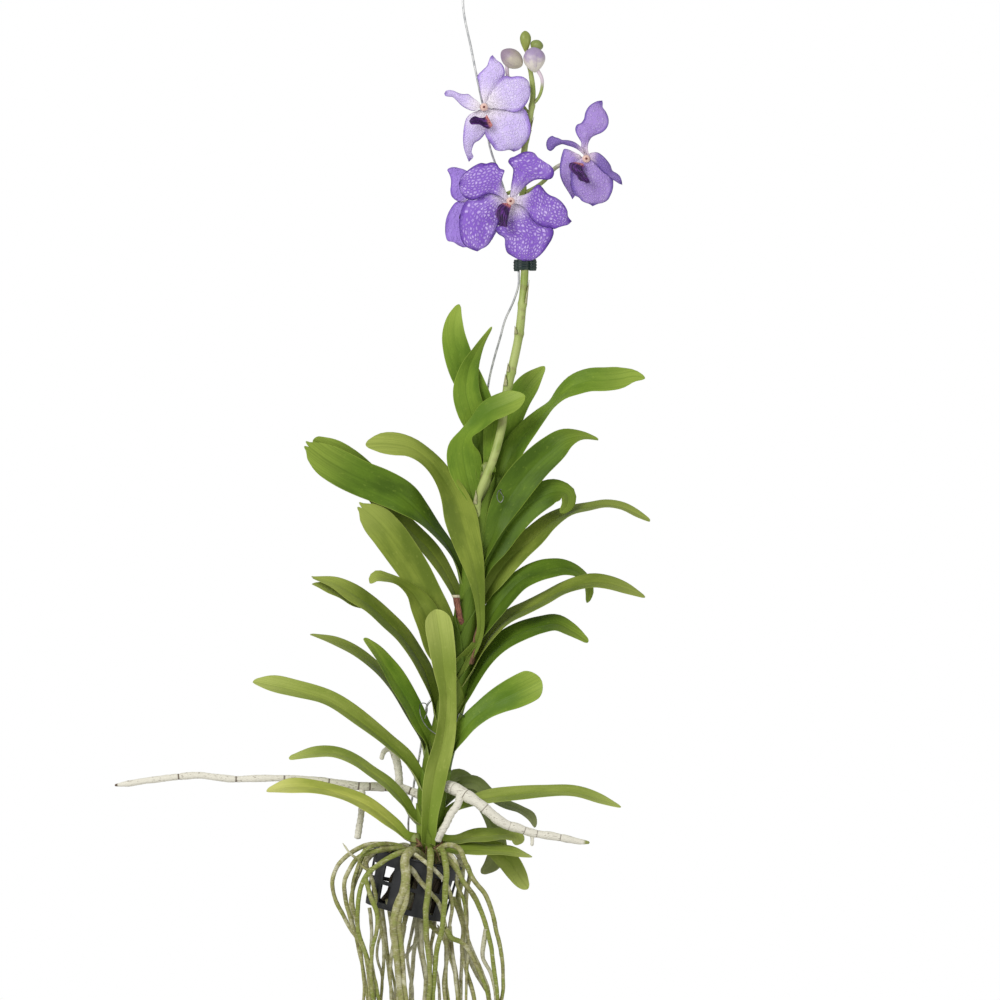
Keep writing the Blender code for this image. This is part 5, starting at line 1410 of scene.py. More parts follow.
FLOWERS = {
    "flower_top": FlowerPlan(
        column=(484, 108, -13),
        pedicel=((488, 110, -9), (500, 118, -2), (513, 124, 2), (528, 129, 1)),
        sepals=(
            PetalPlan(((484, 106), (480.6, 93), (478.8, 84), (477.5, 76.5), (482.5, 70.6), (487, 66),
                (489, 60.5), (490.6, 56.8), (492.5, 55.2)), ((488, 105), (492, 97), (498, 89), (503, 80),
                (505, 73), (504.2, 68.8), (501.5, 64), (497, 60.6), (494.6, 57.8), (492.5, 55.2)), -10, -3,
                1.5, 1.2, 1.5),
            PetalPlan(((485, 110), (484.5, 124), (484.5, 133), (486.3, 138), (489, 142), (492.5, 146.5),
                (495, 150), (500, 151.6), (505, 151.2), (509.5, 150.4), (514, 152.3)), ((490, 109),
                (505, 108), (516, 108.5), (525, 110), (528.3, 116.3), (530.2, 122.5), (531, 129),
                (530, 135.5), (527.5, 140.8), (523.5, 145.5), (518.8, 150.4), (514, 152.3)), -10, -8, 2.5,
                1.5, 3),
            PetalPlan(((480, 110), (475.5, 112), (470.3, 114.5), (466.3, 118.8), (464.4, 125),
                (463.3, 133.8), (463.1, 141.3), (464, 148.8), (466.3, 155.5), (468.8, 161.9)), ((486, 113),
                (488.5, 121), (488.5, 129), (485, 134), (482, 138), (478.8, 140.8), (475, 143),
                (472.6, 147.5), (471.7, 152.5), (473.4, 156.5), (468.8, 161.9)), -9.5, 0, 2, 1.2, 2),
        ),
        petals={
            "petal_left": PetalPlan(((480, 104), (473, 98.5), (467.5, 94.6), (464, 94.8), (458.8, 93.6),
                (453.8, 91.2), (450, 90.4), (446, 91), (444.2, 93.5)), ((480, 109.5), (474, 111.9),
                (467.5, 110), (461.3, 106), (456.5, 101), (452.5, 97.3), (448.5, 96.8), (445.4, 96),
                (444.2, 93.5)), -15, 0, 4, 0.5, 1.5),
            "petal_right": PetalPlan(((486, 104), (490.5, 95), (495, 87.5), (500, 80), (505.6, 76.5),
                (511, 77.5), (517, 77), (523, 77.8), (528, 81.5), (530.4, 89)), ((488, 108.5),
                (496, 109.5), (505, 111), (514.5, 113.3), (520, 111.5), (524.5, 107), (527.5, 102.5),
                (529.6, 97), (530.4, 89)), -15, -10, 2, 1.6, 2.5),
        },
        lip=PetalPlan(((487, 116), (484, 118.8), (479, 118.8), (475, 117.6), (471.3, 119.5),
            (469.2, 122.7)), ((492.8, 126.5), (489, 130), (484, 128.5), (480, 126.2), (475, 126),
            (471.5, 126), (469.2, 122.7)), -19, -25, 1.5, 0.6, 1, 2.4),
    ),
    "flower_front": FlowerPlan(
        column=(510.5, 203.5, -46.5),
        pedicel=((512, 204, -36), (516, 202, -24), (519, 200, -12), (523, 199, 4)),
        sepals=(
            PetalPlan(((508, 204), (510, 197), (511, 187), (512.5, 178), (512.8, 170.8), (510, 166.9),
                (508, 163.8), (509.6, 160.6), (514.5, 158.6), (520, 155.4), (527, 153.4), (533.5, 154.6),
                (538.4, 160.5)), ((514, 204), (517, 198), (522, 192), (527.5, 186.5), (533.8, 182.5),
                (540, 181.4), (547, 181.8), (551.8, 180), (553.8, 174.5), (551.5, 169), (546.3, 165.6),
                (541.5, 165.8), (538.4, 160.5)), -40, -35, 2.5, 1.8, 2.5),
            PetalPlan(((509, 202.5), (504, 199), (496, 195.5), (489, 192), (481.5, 194), (474, 198.5),
                (467, 202.5), (462.5, 209), (460.4, 217), (459.2, 226), (460, 234.5), (461.9, 242.5),
                (465.6, 247.6), (471.3, 250.8), (477.5, 253)), ((511, 207), (506, 207.5), (502, 209),
                (500.3, 216), (498.8, 225), (496, 231), (494, 236), (492, 241), (489.3, 245.3),
                (485.5, 248.7), (481.9, 250.4), (477.5, 253)), -40, -36, 2.5, 1.6, 3),
            PetalPlan(((509, 204), (508.5, 211), (507.5, 218.5), (504, 225.5), (498.8, 227.8),
                (495, 230.8), (498, 235.5), (504.3, 240), (505, 247.5), (507, 254), (512.5, 257.9),
                (518, 260.8), (524, 262.6)), ((514, 202), (522, 205.5), (531, 212.5), (538, 218),
                (545, 223), (551, 228), (553.4, 233), (551.9, 240), (548.1, 246.5), (543.8, 252.7),
                (538.8, 257.9), (533, 261.5), (524, 262.6)), -40, -37, 2.5, 1.6, 3),
        ),
        petals={
            "petal_left": PetalPlan(((510, 201), (506, 194.5), (501.8, 186), (503, 178), (504.5, 172.8),
                (500, 171), (496.3, 165.6), (491.3, 164.6), (486.3, 166), (481.3, 165.4), (476, 167.4),
                (470, 171), (464.4, 175.8), (461, 180), (459, 186)), ((510, 206), (504, 201.5), (498, 198),
                (490, 196), (482.5, 198), (477.5, 200.7), (471.3, 201.7), (466.3, 200.4), (462.3, 197),
                (460, 192), (459, 186)), -46, -41, 2.5, 1.8, 3),
            "petal_right": PetalPlan(((511, 200), (517, 198.5), (524, 197), (530, 193.8), (534, 189.5),
                (538.3, 186.8), (542.5, 190), (545.5, 194), (550, 197.5), (554, 199), (559, 202),
                (563.8, 207), (567, 212.8), (567.8, 218.5), (571.4, 223.1)), ((511, 206), (517, 206),
                (523, 209), (528, 216), (533, 222.8), (539, 226.8), (545, 229.3), (550, 229.3),
                (553.5, 231), (558, 229.4), (562.5, 228), (567.5, 226.7), (571.4, 223.1)), -46, -40, 2,
                1.6, 2.5),
        },
        lip=PetalPlan(((507, 205.5), (503, 205.3), (499.5, 207.3), (496.6, 211.5), (495.4, 216.5),
            (497.3, 221.3), (499.2, 224), (497.8, 228), (502.4, 226.8)), ((511, 206.5), (510.8, 210),
            (509.4, 214), (508.3, 220), (507.3, 225), (507, 230), (502.4, 226.8)), -47, -57, 1.5, 0.8, 1,
            2.6),
    ),
    "flower_right": FlowerPlan(
        column=(586, 160, -20),
        pedicel=((583, 160, -15), (572, 162, -7), (556, 167.5, -1), (544, 181, 1), (534, 188, 3),
            (523, 193, 4)),
        sepals=(
            PetalPlan(((583.5, 157), (580.5, 149), (581, 143.8), (579, 140), (576.2, 135), (575, 130),
                (576.9, 125.4), (580.6, 124), (583.6, 120), (585, 113.8), (588.1, 108), (592.5, 104.2),
                (597.5, 101.8), (602, 101.2)), ((589, 156), (587.5, 149), (588.6, 143.2), (591.5, 138.4),
                (596.3, 135.8), (601.3, 133.8), (605.8, 130), (608.2, 125), (608.2, 118.8), (605.7, 112.5),
                (602.4, 107.5), (602.6, 104), (602, 101.2)), -18, -12, 2.5, 1.4, 2),
            PetalPlan(((580, 156), (573, 152.5), (567.5, 150.2), (564.2, 149.8), (561.8, 155),
                (560.2, 162.5), (559.5, 170), (560, 176.5), (563.1, 184.6), (566.9, 190.8), (570.6, 196.7),
                (572.2, 200)), ((583, 160), (582, 168), (580.5, 178), (578.5, 187), (576.5, 194),
                (572.2, 200)), -17, -12, 2, 1, 2),
            PetalPlan(((581, 159), (574, 165), (571, 172), (570, 181), (571.5, 190), (574.5, 196.2),
                (578.8, 198.5), (581.3, 201.6), (585, 203.5), (589.2, 204.8), (592.5, 207)), ((588, 158),
                (590.5, 154), (596, 154), (600.5, 157), (605, 162.5), (609.4, 168), (612.3, 175),
                (613, 183), (612.6, 189.5), (610.6, 195.5), (607.5, 200.8), (602.5, 203.6), (597.5, 204.8),
                (592.5, 207)), -19, -15, 2.5, 1.4, 3.5),
        ),
        petals={
            "petal_left": PetalPlan(((583, 151), (578.8, 146.5), (573.8, 143.1), (567.5, 141.3),
                (561.3, 140.8), (558.1, 139.2), (555, 138.4), (552.2, 137), (548.6, 138.8), (546.4, 142.5),
                (546, 146.5)), ((583, 156), (578.8, 152), (573.8, 149), (567.5, 147), (561.3, 145.5),
                (558.8, 146.3), (555.6, 147.8), (553.1, 150.5), (550.6, 152), (547.6, 150.8),
                (546, 146.5)), -23, -16, 3, 0.8, 1.5),
            "petal_right": PetalPlan(((589, 157), (592, 154), (597.5, 153.8), (601.5, 156.3), (606.3, 161),
                (610, 166), (612.5, 172), (616.3, 174.2), (619.4, 177), (621.3, 181.3), (622, 185.8)),
                ((590, 160.5), (594, 163.5), (598.8, 169), (602, 172.8), (606.3, 175.6), (610, 179),
                (615, 182.2), (618.8, 184.6), (622, 185.8)), -23, -17, 3, 0.8, 2),
        },
        lip=PetalPlan(((578.5, 164), (573, 163.6), (569.2, 165), (568.6, 168.8), (571.1, 172.8),
            (576, 177.2), (579, 182), (583.8, 183.6), (587, 185.2), (589.4, 184)), ((583, 165),
            (583.7, 168), (582.5, 171), (584.7, 174.5), (586.7, 177.8), (588.5, 181), (589.4, 184)), -25,
            -34, 1.5, 0.6, 1, 2.4),
    ),
    "flower_back": FlowerPlan(
        column=(474, 203, 12),
        pedicel=((477, 203, 16), (490, 199, 20), (504, 194, 18.5), (514, 190, 14), (523, 188, 4)),
        sepals=(
            PetalPlan(((472, 201), (472, 188), (475.5, 176), (484, 168)), ((479, 201), (487, 190),
                (490, 178), (484, 168)), 15, 18, 2, 1, 2),
            PetalPlan(((470, 203), (463, 199.5), (456.3, 201.1), (450, 208.6), (446.2, 217.5),
                (444.9, 227.5), (445.5, 235.2), (447.5, 240.2), (452.5, 241.2), (458.6, 244.8),
                (463, 246.7)), ((476, 206), (482, 214), (484, 226), (480, 238), (472, 246), (463, 246.7)),
                15, 18, 2.5, 1.2, 3),
            PetalPlan(((474, 208), (476, 220), (482, 232), (492, 239)), ((480, 206), (492, 214),
                (498, 226), (492, 239)), 15, 22, 2, 1, 2),
            PetalPlan(((466, 201), (457.5, 200.5), (451.2, 195), (450.2, 190), (450.8, 184), (450.8, 179),
                (449, 173), (447.2, 169), (451.3, 166.6), (456, 166.5)), ((474, 199), (474, 188),
                (473.5, 178), (470, 172.5), (464, 168.7), (456, 166.5)), 13, 13, 2, 1.4, 2),
            PetalPlan(((478, 199), (487, 192.5), (496, 193), (504, 203)), ((479, 206), (487, 210),
                (496, 210), (504, 203)), 14, 21, 2, 1, 2),
        ),
        petals={},
        lip=PetalPlan(((469, 207), (462, 211), (459, 218), (462, 224)), ((474, 210), (472, 216),
            (468, 222), (462, 224)), 7, 0, 1.5, 0.5, 1, 2.4),
    ),
}

PETAL_FINISHES = {
    "flower_top": PetalFinish("petal_pale", (0.64, 0.52, 0.89), (0.87, 0.8, 0.97), (0.34, 0.21, 0.66),
        (0.93, 0.85, 0.92), 0.62, 0.45, (0.6, 0.5, 0.8), 0.4),
    "flower_front": PetalFinish("petal_deep", (0.225, 0.1, 0.53), (0.64, 0.5, 0.89), (0.12, 0.04, 0.36),
        (0.93, 0.84, 0.92), 0.44, 0.9, (0.34, 0.22, 0.66), 0.31),
    "flower_right": PetalFinish("petal_medium", (0.37, 0.24, 0.62), (0.62, 0.5, 0.82), (0.17, 0.095, 0.42),
        (0.88, 0.73, 0.83), 0.36, 0.5, (0.36, 0.25, 0.58), 0.36),
    # A darker copy of petal_medium: painted shade on the right flower's two petals
    "flower_right_side": PetalFinish("petal_medium_shaded", (0.21, 0.13, 0.44), (0.42, 0.31, 0.64),
        (0.1, 0.055, 0.29), (0.75, 0.6, 0.75), 0.36, 0.45, (0.2, 0.13, 0.4), 0.36),
    "flower_back": PetalFinish("petal_back", (0.36, 0.22, 0.7), (0.46, 0.34, 0.8), (0.24, 0.12, 0.54),
        (0.7, 0.6, 0.76), 0.3, 0.3, (0.34, 0.22, 0.64)),
}


@dataclass
class Flower:
    """One open flower."""

    name: str
    plan: FlowerPlan
    growth: StrandGrowth
    rows: int = 54
    columns: int = 37
    column_size: tuple[float, float, float] = (5.0, 5.0, 4.8)
    column_sides: int = 28
    column_rings: int = 26
    pedicel_radius: float = 2.0

    def tepal(self, shells: Shells, plan: PetalPlan, seed: float, ridges: float = 0.0) -> None:
        """Adds one petal, sepal or lip.

        Args:
            shells: What it is added to.
            plan: Its outline and curl.
            seed: Its own seed.
            ridges: The height of the lengthwise ridges of a lip, in millimetres.
        """
        left = smooth(plan.left, self.rows, 2)[:, None]
        right = smooth(plan.right, self.rows, 2)[:, None]
        share = np.linspace(0, 1, self.rows)
        left[-1], right[-1] = left[-1] - 0.001, right[-1] + 0.001
        places = np.linspace(0, 1, self.columns)[None, :, None]
        flat = left + (right - left) * places
        side = 2 * places[0, :, 0] - 1
        reach = np.abs(side)[None, :]
        width = np.linalg.norm(right - left, axis=2)
        edge = np.maximum(reach, ease(share, 0.7, 1.0)[:, None])
        depth = plan.near + (plan.far - plan.near) * share[:, None] ** 1.4
        depth = depth - plan.cup * (1 - reach**2) * np.sin(share * math.pi)[:, None]
        phase = math.tau * (plan.waves * share[:, None] + 0.31 * seed + 0.5 * (side > 0)[None, :])
        depth = depth + plan.ruffle * edge**3 * np.sin(phase) * ease(share, 0.08, 0.4)[:, None]
        depth = depth - 0.5 * np.exp(-((side[None, :] / 0.12) ** 2)) * (1 - share[:, None])
        folds = np.cos(side[None, :] * math.tau * 1.5) ** 2
        depth = depth - ridges * folds * np.sin(share * math.pi)[:, None]
        wall = plan.thickness / 2 * (1 - 0.65 * edge**4)
        wall = np.minimum(wall, 0.12 * width + 0.05)
        grids = []
        for way in (-1, 1):
            grids.append(np.stack([flat[..., 0], flat[..., 1], depth + way * wall], axis=2))
        front, back = (on_axes(grid.reshape(-1, 3)).reshape(grid.shape) for grid in grids)
        back[:, [0, -1]] = front[:, [0, -1]] = (front[:, [0, -1]] + back[:, [0, -1]]) / 2
        length = float(np.linalg.norm(flat[-1, 0] - flat[0, 0]))
        reach = side * float(width.max()) / 2
        shells.add_sheet(front, back, side, share[:, None], reach, share[:, None] * length, seed)

    def column(self, shells: Shells) -> None:
        """Adds the column: a short waxy post towards the viewer with a cap and a beak.

        Args:
            shells: What it is added to.
        """
        x, y, depth = self.plan.column
        wide, deep, tall = self.column_size
        angles = np.arange(self.column_sides) * math.tau / self.column_sides
        rings = []
        for share in np.linspace(0, 1, self.column_rings):
            swell = math.sin(math.pi * min(max(share, 0.03), 0.97)) ** 0.55
            waist = 1 - 0.14 * math.exp(-(((share - 0.62) / 0.05) ** 2))
            size = swell * waist
            forward = depth + deep * (1 - 2 * share)
            ring = []
            for angle in angles:
                beak = 1 + 0.12 * max(0.0, math.sin(angle)) * math.exp(-(((share - 0.78) / 0.12) ** 2))
                right = wide * 0.86 * size * math.cos(angle)
                low = tall * 0.86 * size * math.sin(angle) * beak
                ring.append((x + right, y + low, forward))
            rings.append(on_axes(ring))
        shells.add_rod(np.array(rings))

    def build(self, finishes: dict[str, Material], lip: Material) -> None:
        """Builds the flower's pieces.

        Args:
            finishes: The petal, column and pedicel materials by name.
            lip: The lip's material.
        """
        start = 10.0 * len(self.name)
        sepals = Shells()
        for i, plan in enumerate(self.plan.sepals):
            self.tepal(sepals, plan, start + i)
        present(sepals.piece(self.name + "_sepals", finishes["petal"]), "petal", self.name + "_sepals")
        for i, (part, plan) in enumerate(self.plan.petals.items()):
            petal = Shells()
            self.tepal(petal, plan, start + 5 + i)
            present(petal.piece(f"{self.name}_{part}", finishes["side"]), "petal", f"{self.name}_{part}")
        lobe = Shells()
        self.tepal(lobe, self.plan.lip, start + 8, 1.0)
        present(lobe.piece(self.name + "_lip", lip), "lip", self.name + "_lip")
        post = Shells()
        self.column(post)
        present(post.piece(self.name + "_column", finishes["column"]), "lip")
        path = smooth(on_axes([self.plan.column, *self.plan.pedicel]), 40)
        radii = self.pedicel_radius * (1 + 0.25 * np.linspace(1, 0, 40) ** 3)
        rod = self.growth.along(self.name + "_pedicel", [np.column_stack([path, radii])], [(0.5, 0.0)],
                                finishes["pedicel"], Step=0.0012, Sides=14, Lump=0.25, Grain=0.0002)
        present(rod, "spike")


# Buds: name, base, tip, half width, the share at the widest place, the pedicel's points back to the spike,
# and the colours at the stalk, at the tip and along the seams
BUDS = [
    ("bud_1", (501.5, 51.5, -6), (522, 66.5, -8), 9.6, 0.5, [(507, 64, -6), (507.5, 75, -1), (515, 92, 4),
     (525, 108, 3), (531, 115, 1)], (0.3, 0.22, 0.3), (0.52, 0.47, 0.36), (0.3, 0.22, 0.24)),
    ("bud_2", (535, 73, -6), (533, 47.8, -8), 11.2, 0.56, [(537, 70, -6), (541.5, 78, -6), (541.5, 90, -3),
     (537, 100, 0), (532, 105, 1)], (0.78, 0.73, 0.62), (0.38, 0.29, 0.46), (0.32, 0.22, 0.42)),
    ("bud_3", (526, 54, 2), (525, 30.6, 2), 5.6, 0.66, [(526, 49, 2), (527, 54, 2.5), (528, 59, 3)],
     (0.36, 0.42, 0.09), (0.25, 0.3, 0.06), (0.16, 0.18, 0.04)),
    ("bud_4", (534.5, 53, 3), (538.5, 39.8, 3), 6.6, 0.62, [(535, 48, 3), (533.5, 53, 4), (531.5, 59, 4),
     (529.4, 65, 3)], (0.36, 0.42, 0.14), (0.22, 0.28, 0.06), (0.4, 0.42, 0.22)),
]

# Flower spike: x, y, depth, radius
SPIKE = [
    (480, 526, -5, 2.5), (478.5, 515, -8, 2.8), (477.5, 502, -12, 3.4), (481, 489, -18, 3.8),
    (490, 468, -20, 4), (497, 447, -19, 4.2), (502, 425, -12, 4.3), (505, 400, -8, 4.4),
    (509, 382, -6, 4.5), (514, 360, -4, 4.4), (519, 335, -2, 4.4), (522, 308, -1, 4.2), (524, 285, 0, 4),
    (525, 262, 0, 3.8), (525, 235, 3, 3.6), (523, 200, 4, 3.5), (523, 165, 2, 3.3), (526, 138, 1, 3.1),
    (531, 112, 1, 2.9), (533, 92, 2, 2.7), (531, 74, 3, 2.4), (528, 58, 3, 1.8),
]

# Bracts on the spike: height of the foot, side, length, width
BRACTS = [
    (504, -1, 14, 9), (386, -1, 12, 8), (372, -1, 9, 7), (334, -1, 8, 7), (304, 1, 24, 6), (198, 1, 8, 5),
    (188, -1, 8, 5), (140, 1, 10, 5), (134, 1, 17, 5), (106, 1, 8, 4), (66, -1, 6, 4),
]


def clasping_scale(
    shells: Shells, stalk: "Cane | Spike", foot: float, side: int, length: float, width: float, lift: float
) -> None:
    """Adds one papery scale that clasps a stalk above its foot.

    Args:
        shells: What it is added to.
        stalk: The stalk, which tells its place at a height.
        foot: The sheet height of the scale's foot.
        side: -1 for the left and 1 for the right.
        length: How far it reaches up.
        width: How wide it spreads.
        lift: How far its foot stands off the stalk.
    """
    share = np.linspace(0, 1, 16)
    places = np.linspace(-1, 1, 13)
    grids = {0.5: [], 0.0: []}
    for s in share:
        x, depth, radius = stalk.at(foot - length * s)
        spread = math.radians(75) * (1 - s**2) * width / 8 + 0.02
        for wall, grid in grids.items():
            line = []
            for place in places:
                turn = place * spread
                reach = radius + lift + 0.5 * s**2 + (wall if abs(place) < 1 else 0)
                out = (side * reach * math.cos(turn), -reach * (math.sin(turn) + 0.4))
                line.append((x + out[0], foot - length * s, depth + out[1]))
            grid.append(on_axes(line))
    front, back = (np.array(grid) for grid in grids.values())
    shells.add_sheet(front, back, places, share[:, None], places * width, share[:, None] * length, 1.0)


@dataclass
class Spike:
    """The flower spike with its knuckles and bracts."""

    growth: StrandGrowth
    rings: int = 300
    knuckle: float = 0.7

    def at(self, height: float) -> tuple[float, float, float]:
        """Returns the x, depth and radius of the spike at a sheet height."""
        rows = np.array(SPIKE[::-1], float)
        return tuple(float(np.interp(height, rows[:, 1], rows[:, i])) for i in (0, 2, 3))

    def build(self) -> None:
        """Builds the spike's stalk, and its bracts as one piece."""
        rows = smooth(on_axes(SPIKE), self.rings)
        for foot, _, _, _ in BRACTS:
            level = HOOK_SEAT[1] - foot
            rows[:, 3] += self.knuckle * np.exp(-(((rows[:, 2] - level) / 2.5) ** 2))
        finish = StalkFinish("spike_skin", (0.26, 0.345, 0.06), (0.39, 0.455, 0.14), (0.2, 0.12, 0.07), 0.45)
        stalk = self.growth.along("flower_spike", [rows], [(0.5, 1.0)], finish.material(), Step=0.0015,
                                  Sides=20, Lump=0.12, Grain=0.00015)
        present(stalk, "spike", "flower_spike")
        bracts = Shells()
        for bract in BRACTS:
            clasping_scale(bracts, self, *bract, 0.2)
        husk = HuskFinish("bract_skin", (0.3, 0.29, 0.13), (0.5, 0.5, 0.28))
        present(bracts.piece("spike_bracts", husk.material()), "spike")


@dataclass
class BudCluster:
    """The four closed buds at the top of the spike, each with its pedicel."""

    growth: StrandGrowth
    rings: int = 34
    sides: int = 36
    pedicel_radius: float = 1.5
    pedicel_rows: int = 40

    def bud(self, shells: Shells, base: Rows, tip: Rows, half: float, peak: float) -> None:
        """Adds one bud: an egg of three folded sepals, drawn in at its tip.

        Args:
            shells: What it is added to.
            base: Where the stalk meets it.
            tip: Its tip.
            half: Its half width.
            peak: The share of its length at which it is widest.
        """
        bias = math.log(0.5) / math.log(peak)
        ends = on_axes([base, tip])
        axis = ends[1] - ends[0]
        along = axis / np.linalg.norm(axis)
        first = unit(np.cross(along, [0.3, 0.1, 0.9])[None])[0]
        second = np.cross(along, first)
        angles = np.arange(self.sides) * math.tau / self.sides
        rings = []
        for share in (1 - np.cos(np.linspace(0.06, math.pi - 0.04, self.rings))) / 2:
            body = math.sin(math.pi * share**bias) ** 0.56
            seam = 1 - 0.07 * np.exp(-((((angles * 3 / math.tau) % 1 - 0.5) / 0.09) ** 2)) * body
            lobes = 1 + 0.045 * np.cos(3 * angles) * share
            radii = half * body * seam * lobes
            out = np.cos(angles)[:, None] * first + np.sin(angles)[:, None] * second
            rings.append(ends[0] + axis * share + radii[:, None] * out)
        shells.add_rod(np.array(rings))

    def build(self, pedicel: Material) -> None:
        """Builds the buds and their pedicels.

        Args:
            pedicel: The pedicels' material.
        """
        for name, base, tip, half, peak, path, low, high, seam in BUDS:
            shells = Shells()
            self.bud(shells, base, tip, half, peak)
            present(shells.piece(name, BudFinish(name + "_skin", low, high, seam).material()), "bud", name)
            radii = self.pedicel_radius * (1 + 0.3 * np.linspace(1, 0, self.pedicel_rows) ** 2)
            rows = np.column_stack([smooth(on_axes(path), self.pedicel_rows), radii])
            rod = self.growth.along(name + "_pedicel", [rows], [(0.5, 0.0)], pedicel, Step=0.0012, Sides=14,
                                    Lump=0.3, Grain=0.0002)
            present(rod, "spike")


# Roots


# Aerial roots: x, y, depth, radius
ROOT_LEFT = [
    [(428, 797, 7, 4.4), (421, 796, 14, 4.4), (411, 792, 18, 4.6), (398, 788, 19, 4.8),
     (379, 787.5, 18, 4.8), (360, 787, 15, 4.4), (340, 784, 12, 4), (320, 781, 9, 3.8),
     (299, 779.5, 6, 3.6), (266, 778.5, 3, 3.5), (233, 779, 1, 3.5), (216, 777, 0, 3.4),
     (203, 775.5, 0, 3.4), (175, 777, -1, 3.3), (150, 780, -2, 3.2), (127, 783.5, -3, 2.8),
     (115, 785, -3, 1.2)],
    [(362, 787, 15, 3.2), (362, 800, 14, 3.2), (361, 815, 12, 3.2), (359, 829, 9, 3.2),
     (357.5, 839, 6, 3)],
    [(399, 787, 19, 4), (398, 772, 19, 4), (395, 758, 19, 3.8), (390, 749, 19, 3.4), (385, 751, 18, 2.8),
     (381, 760, 17, 2)],
]
ROOT_RIGHT = [
    [(438, 785, 0, 5), (446, 786, -5, 6), (458, 790, -14, 6.6), (469, 796, -19, 6), (480, 803, -22, 5.5),
     (490, 812, -23, 5.2), (498, 819, -23, 5), (507, 824, -22, 4.7), (518, 827, -21, 4.5),
     (528, 830.5, -20, 4.2), (539, 833, -20, 4), (552, 835, -20, 4), (565, 837.5, -20, 3.7),
     (578, 840.5, -20, 3), (589, 841.5, -20, 1.2)],
    [(531, 831, -20, 2), (532, 838, -19, 1.9), (532, 845, -18, 1.5)],
    [(460, 792, -18, 4), (458, 803, -21, 3.9), (452, 812, -22, 3.8), (446, 824, -22, 3.7),
     (440, 835, -21, 3.5), (438, 841, -20, 3.2)],
]

# Cracks across the thick roots: the share along the main root
CRACKS = {
    "root_left": (0.07, 0.15, 0.2, 0.235, 0.33, 0.47, 0.62, 0.8),
    "root_right": (0.12, 0.2, 0.34, 0.52, 0.61, 0.69, 0.83),
}

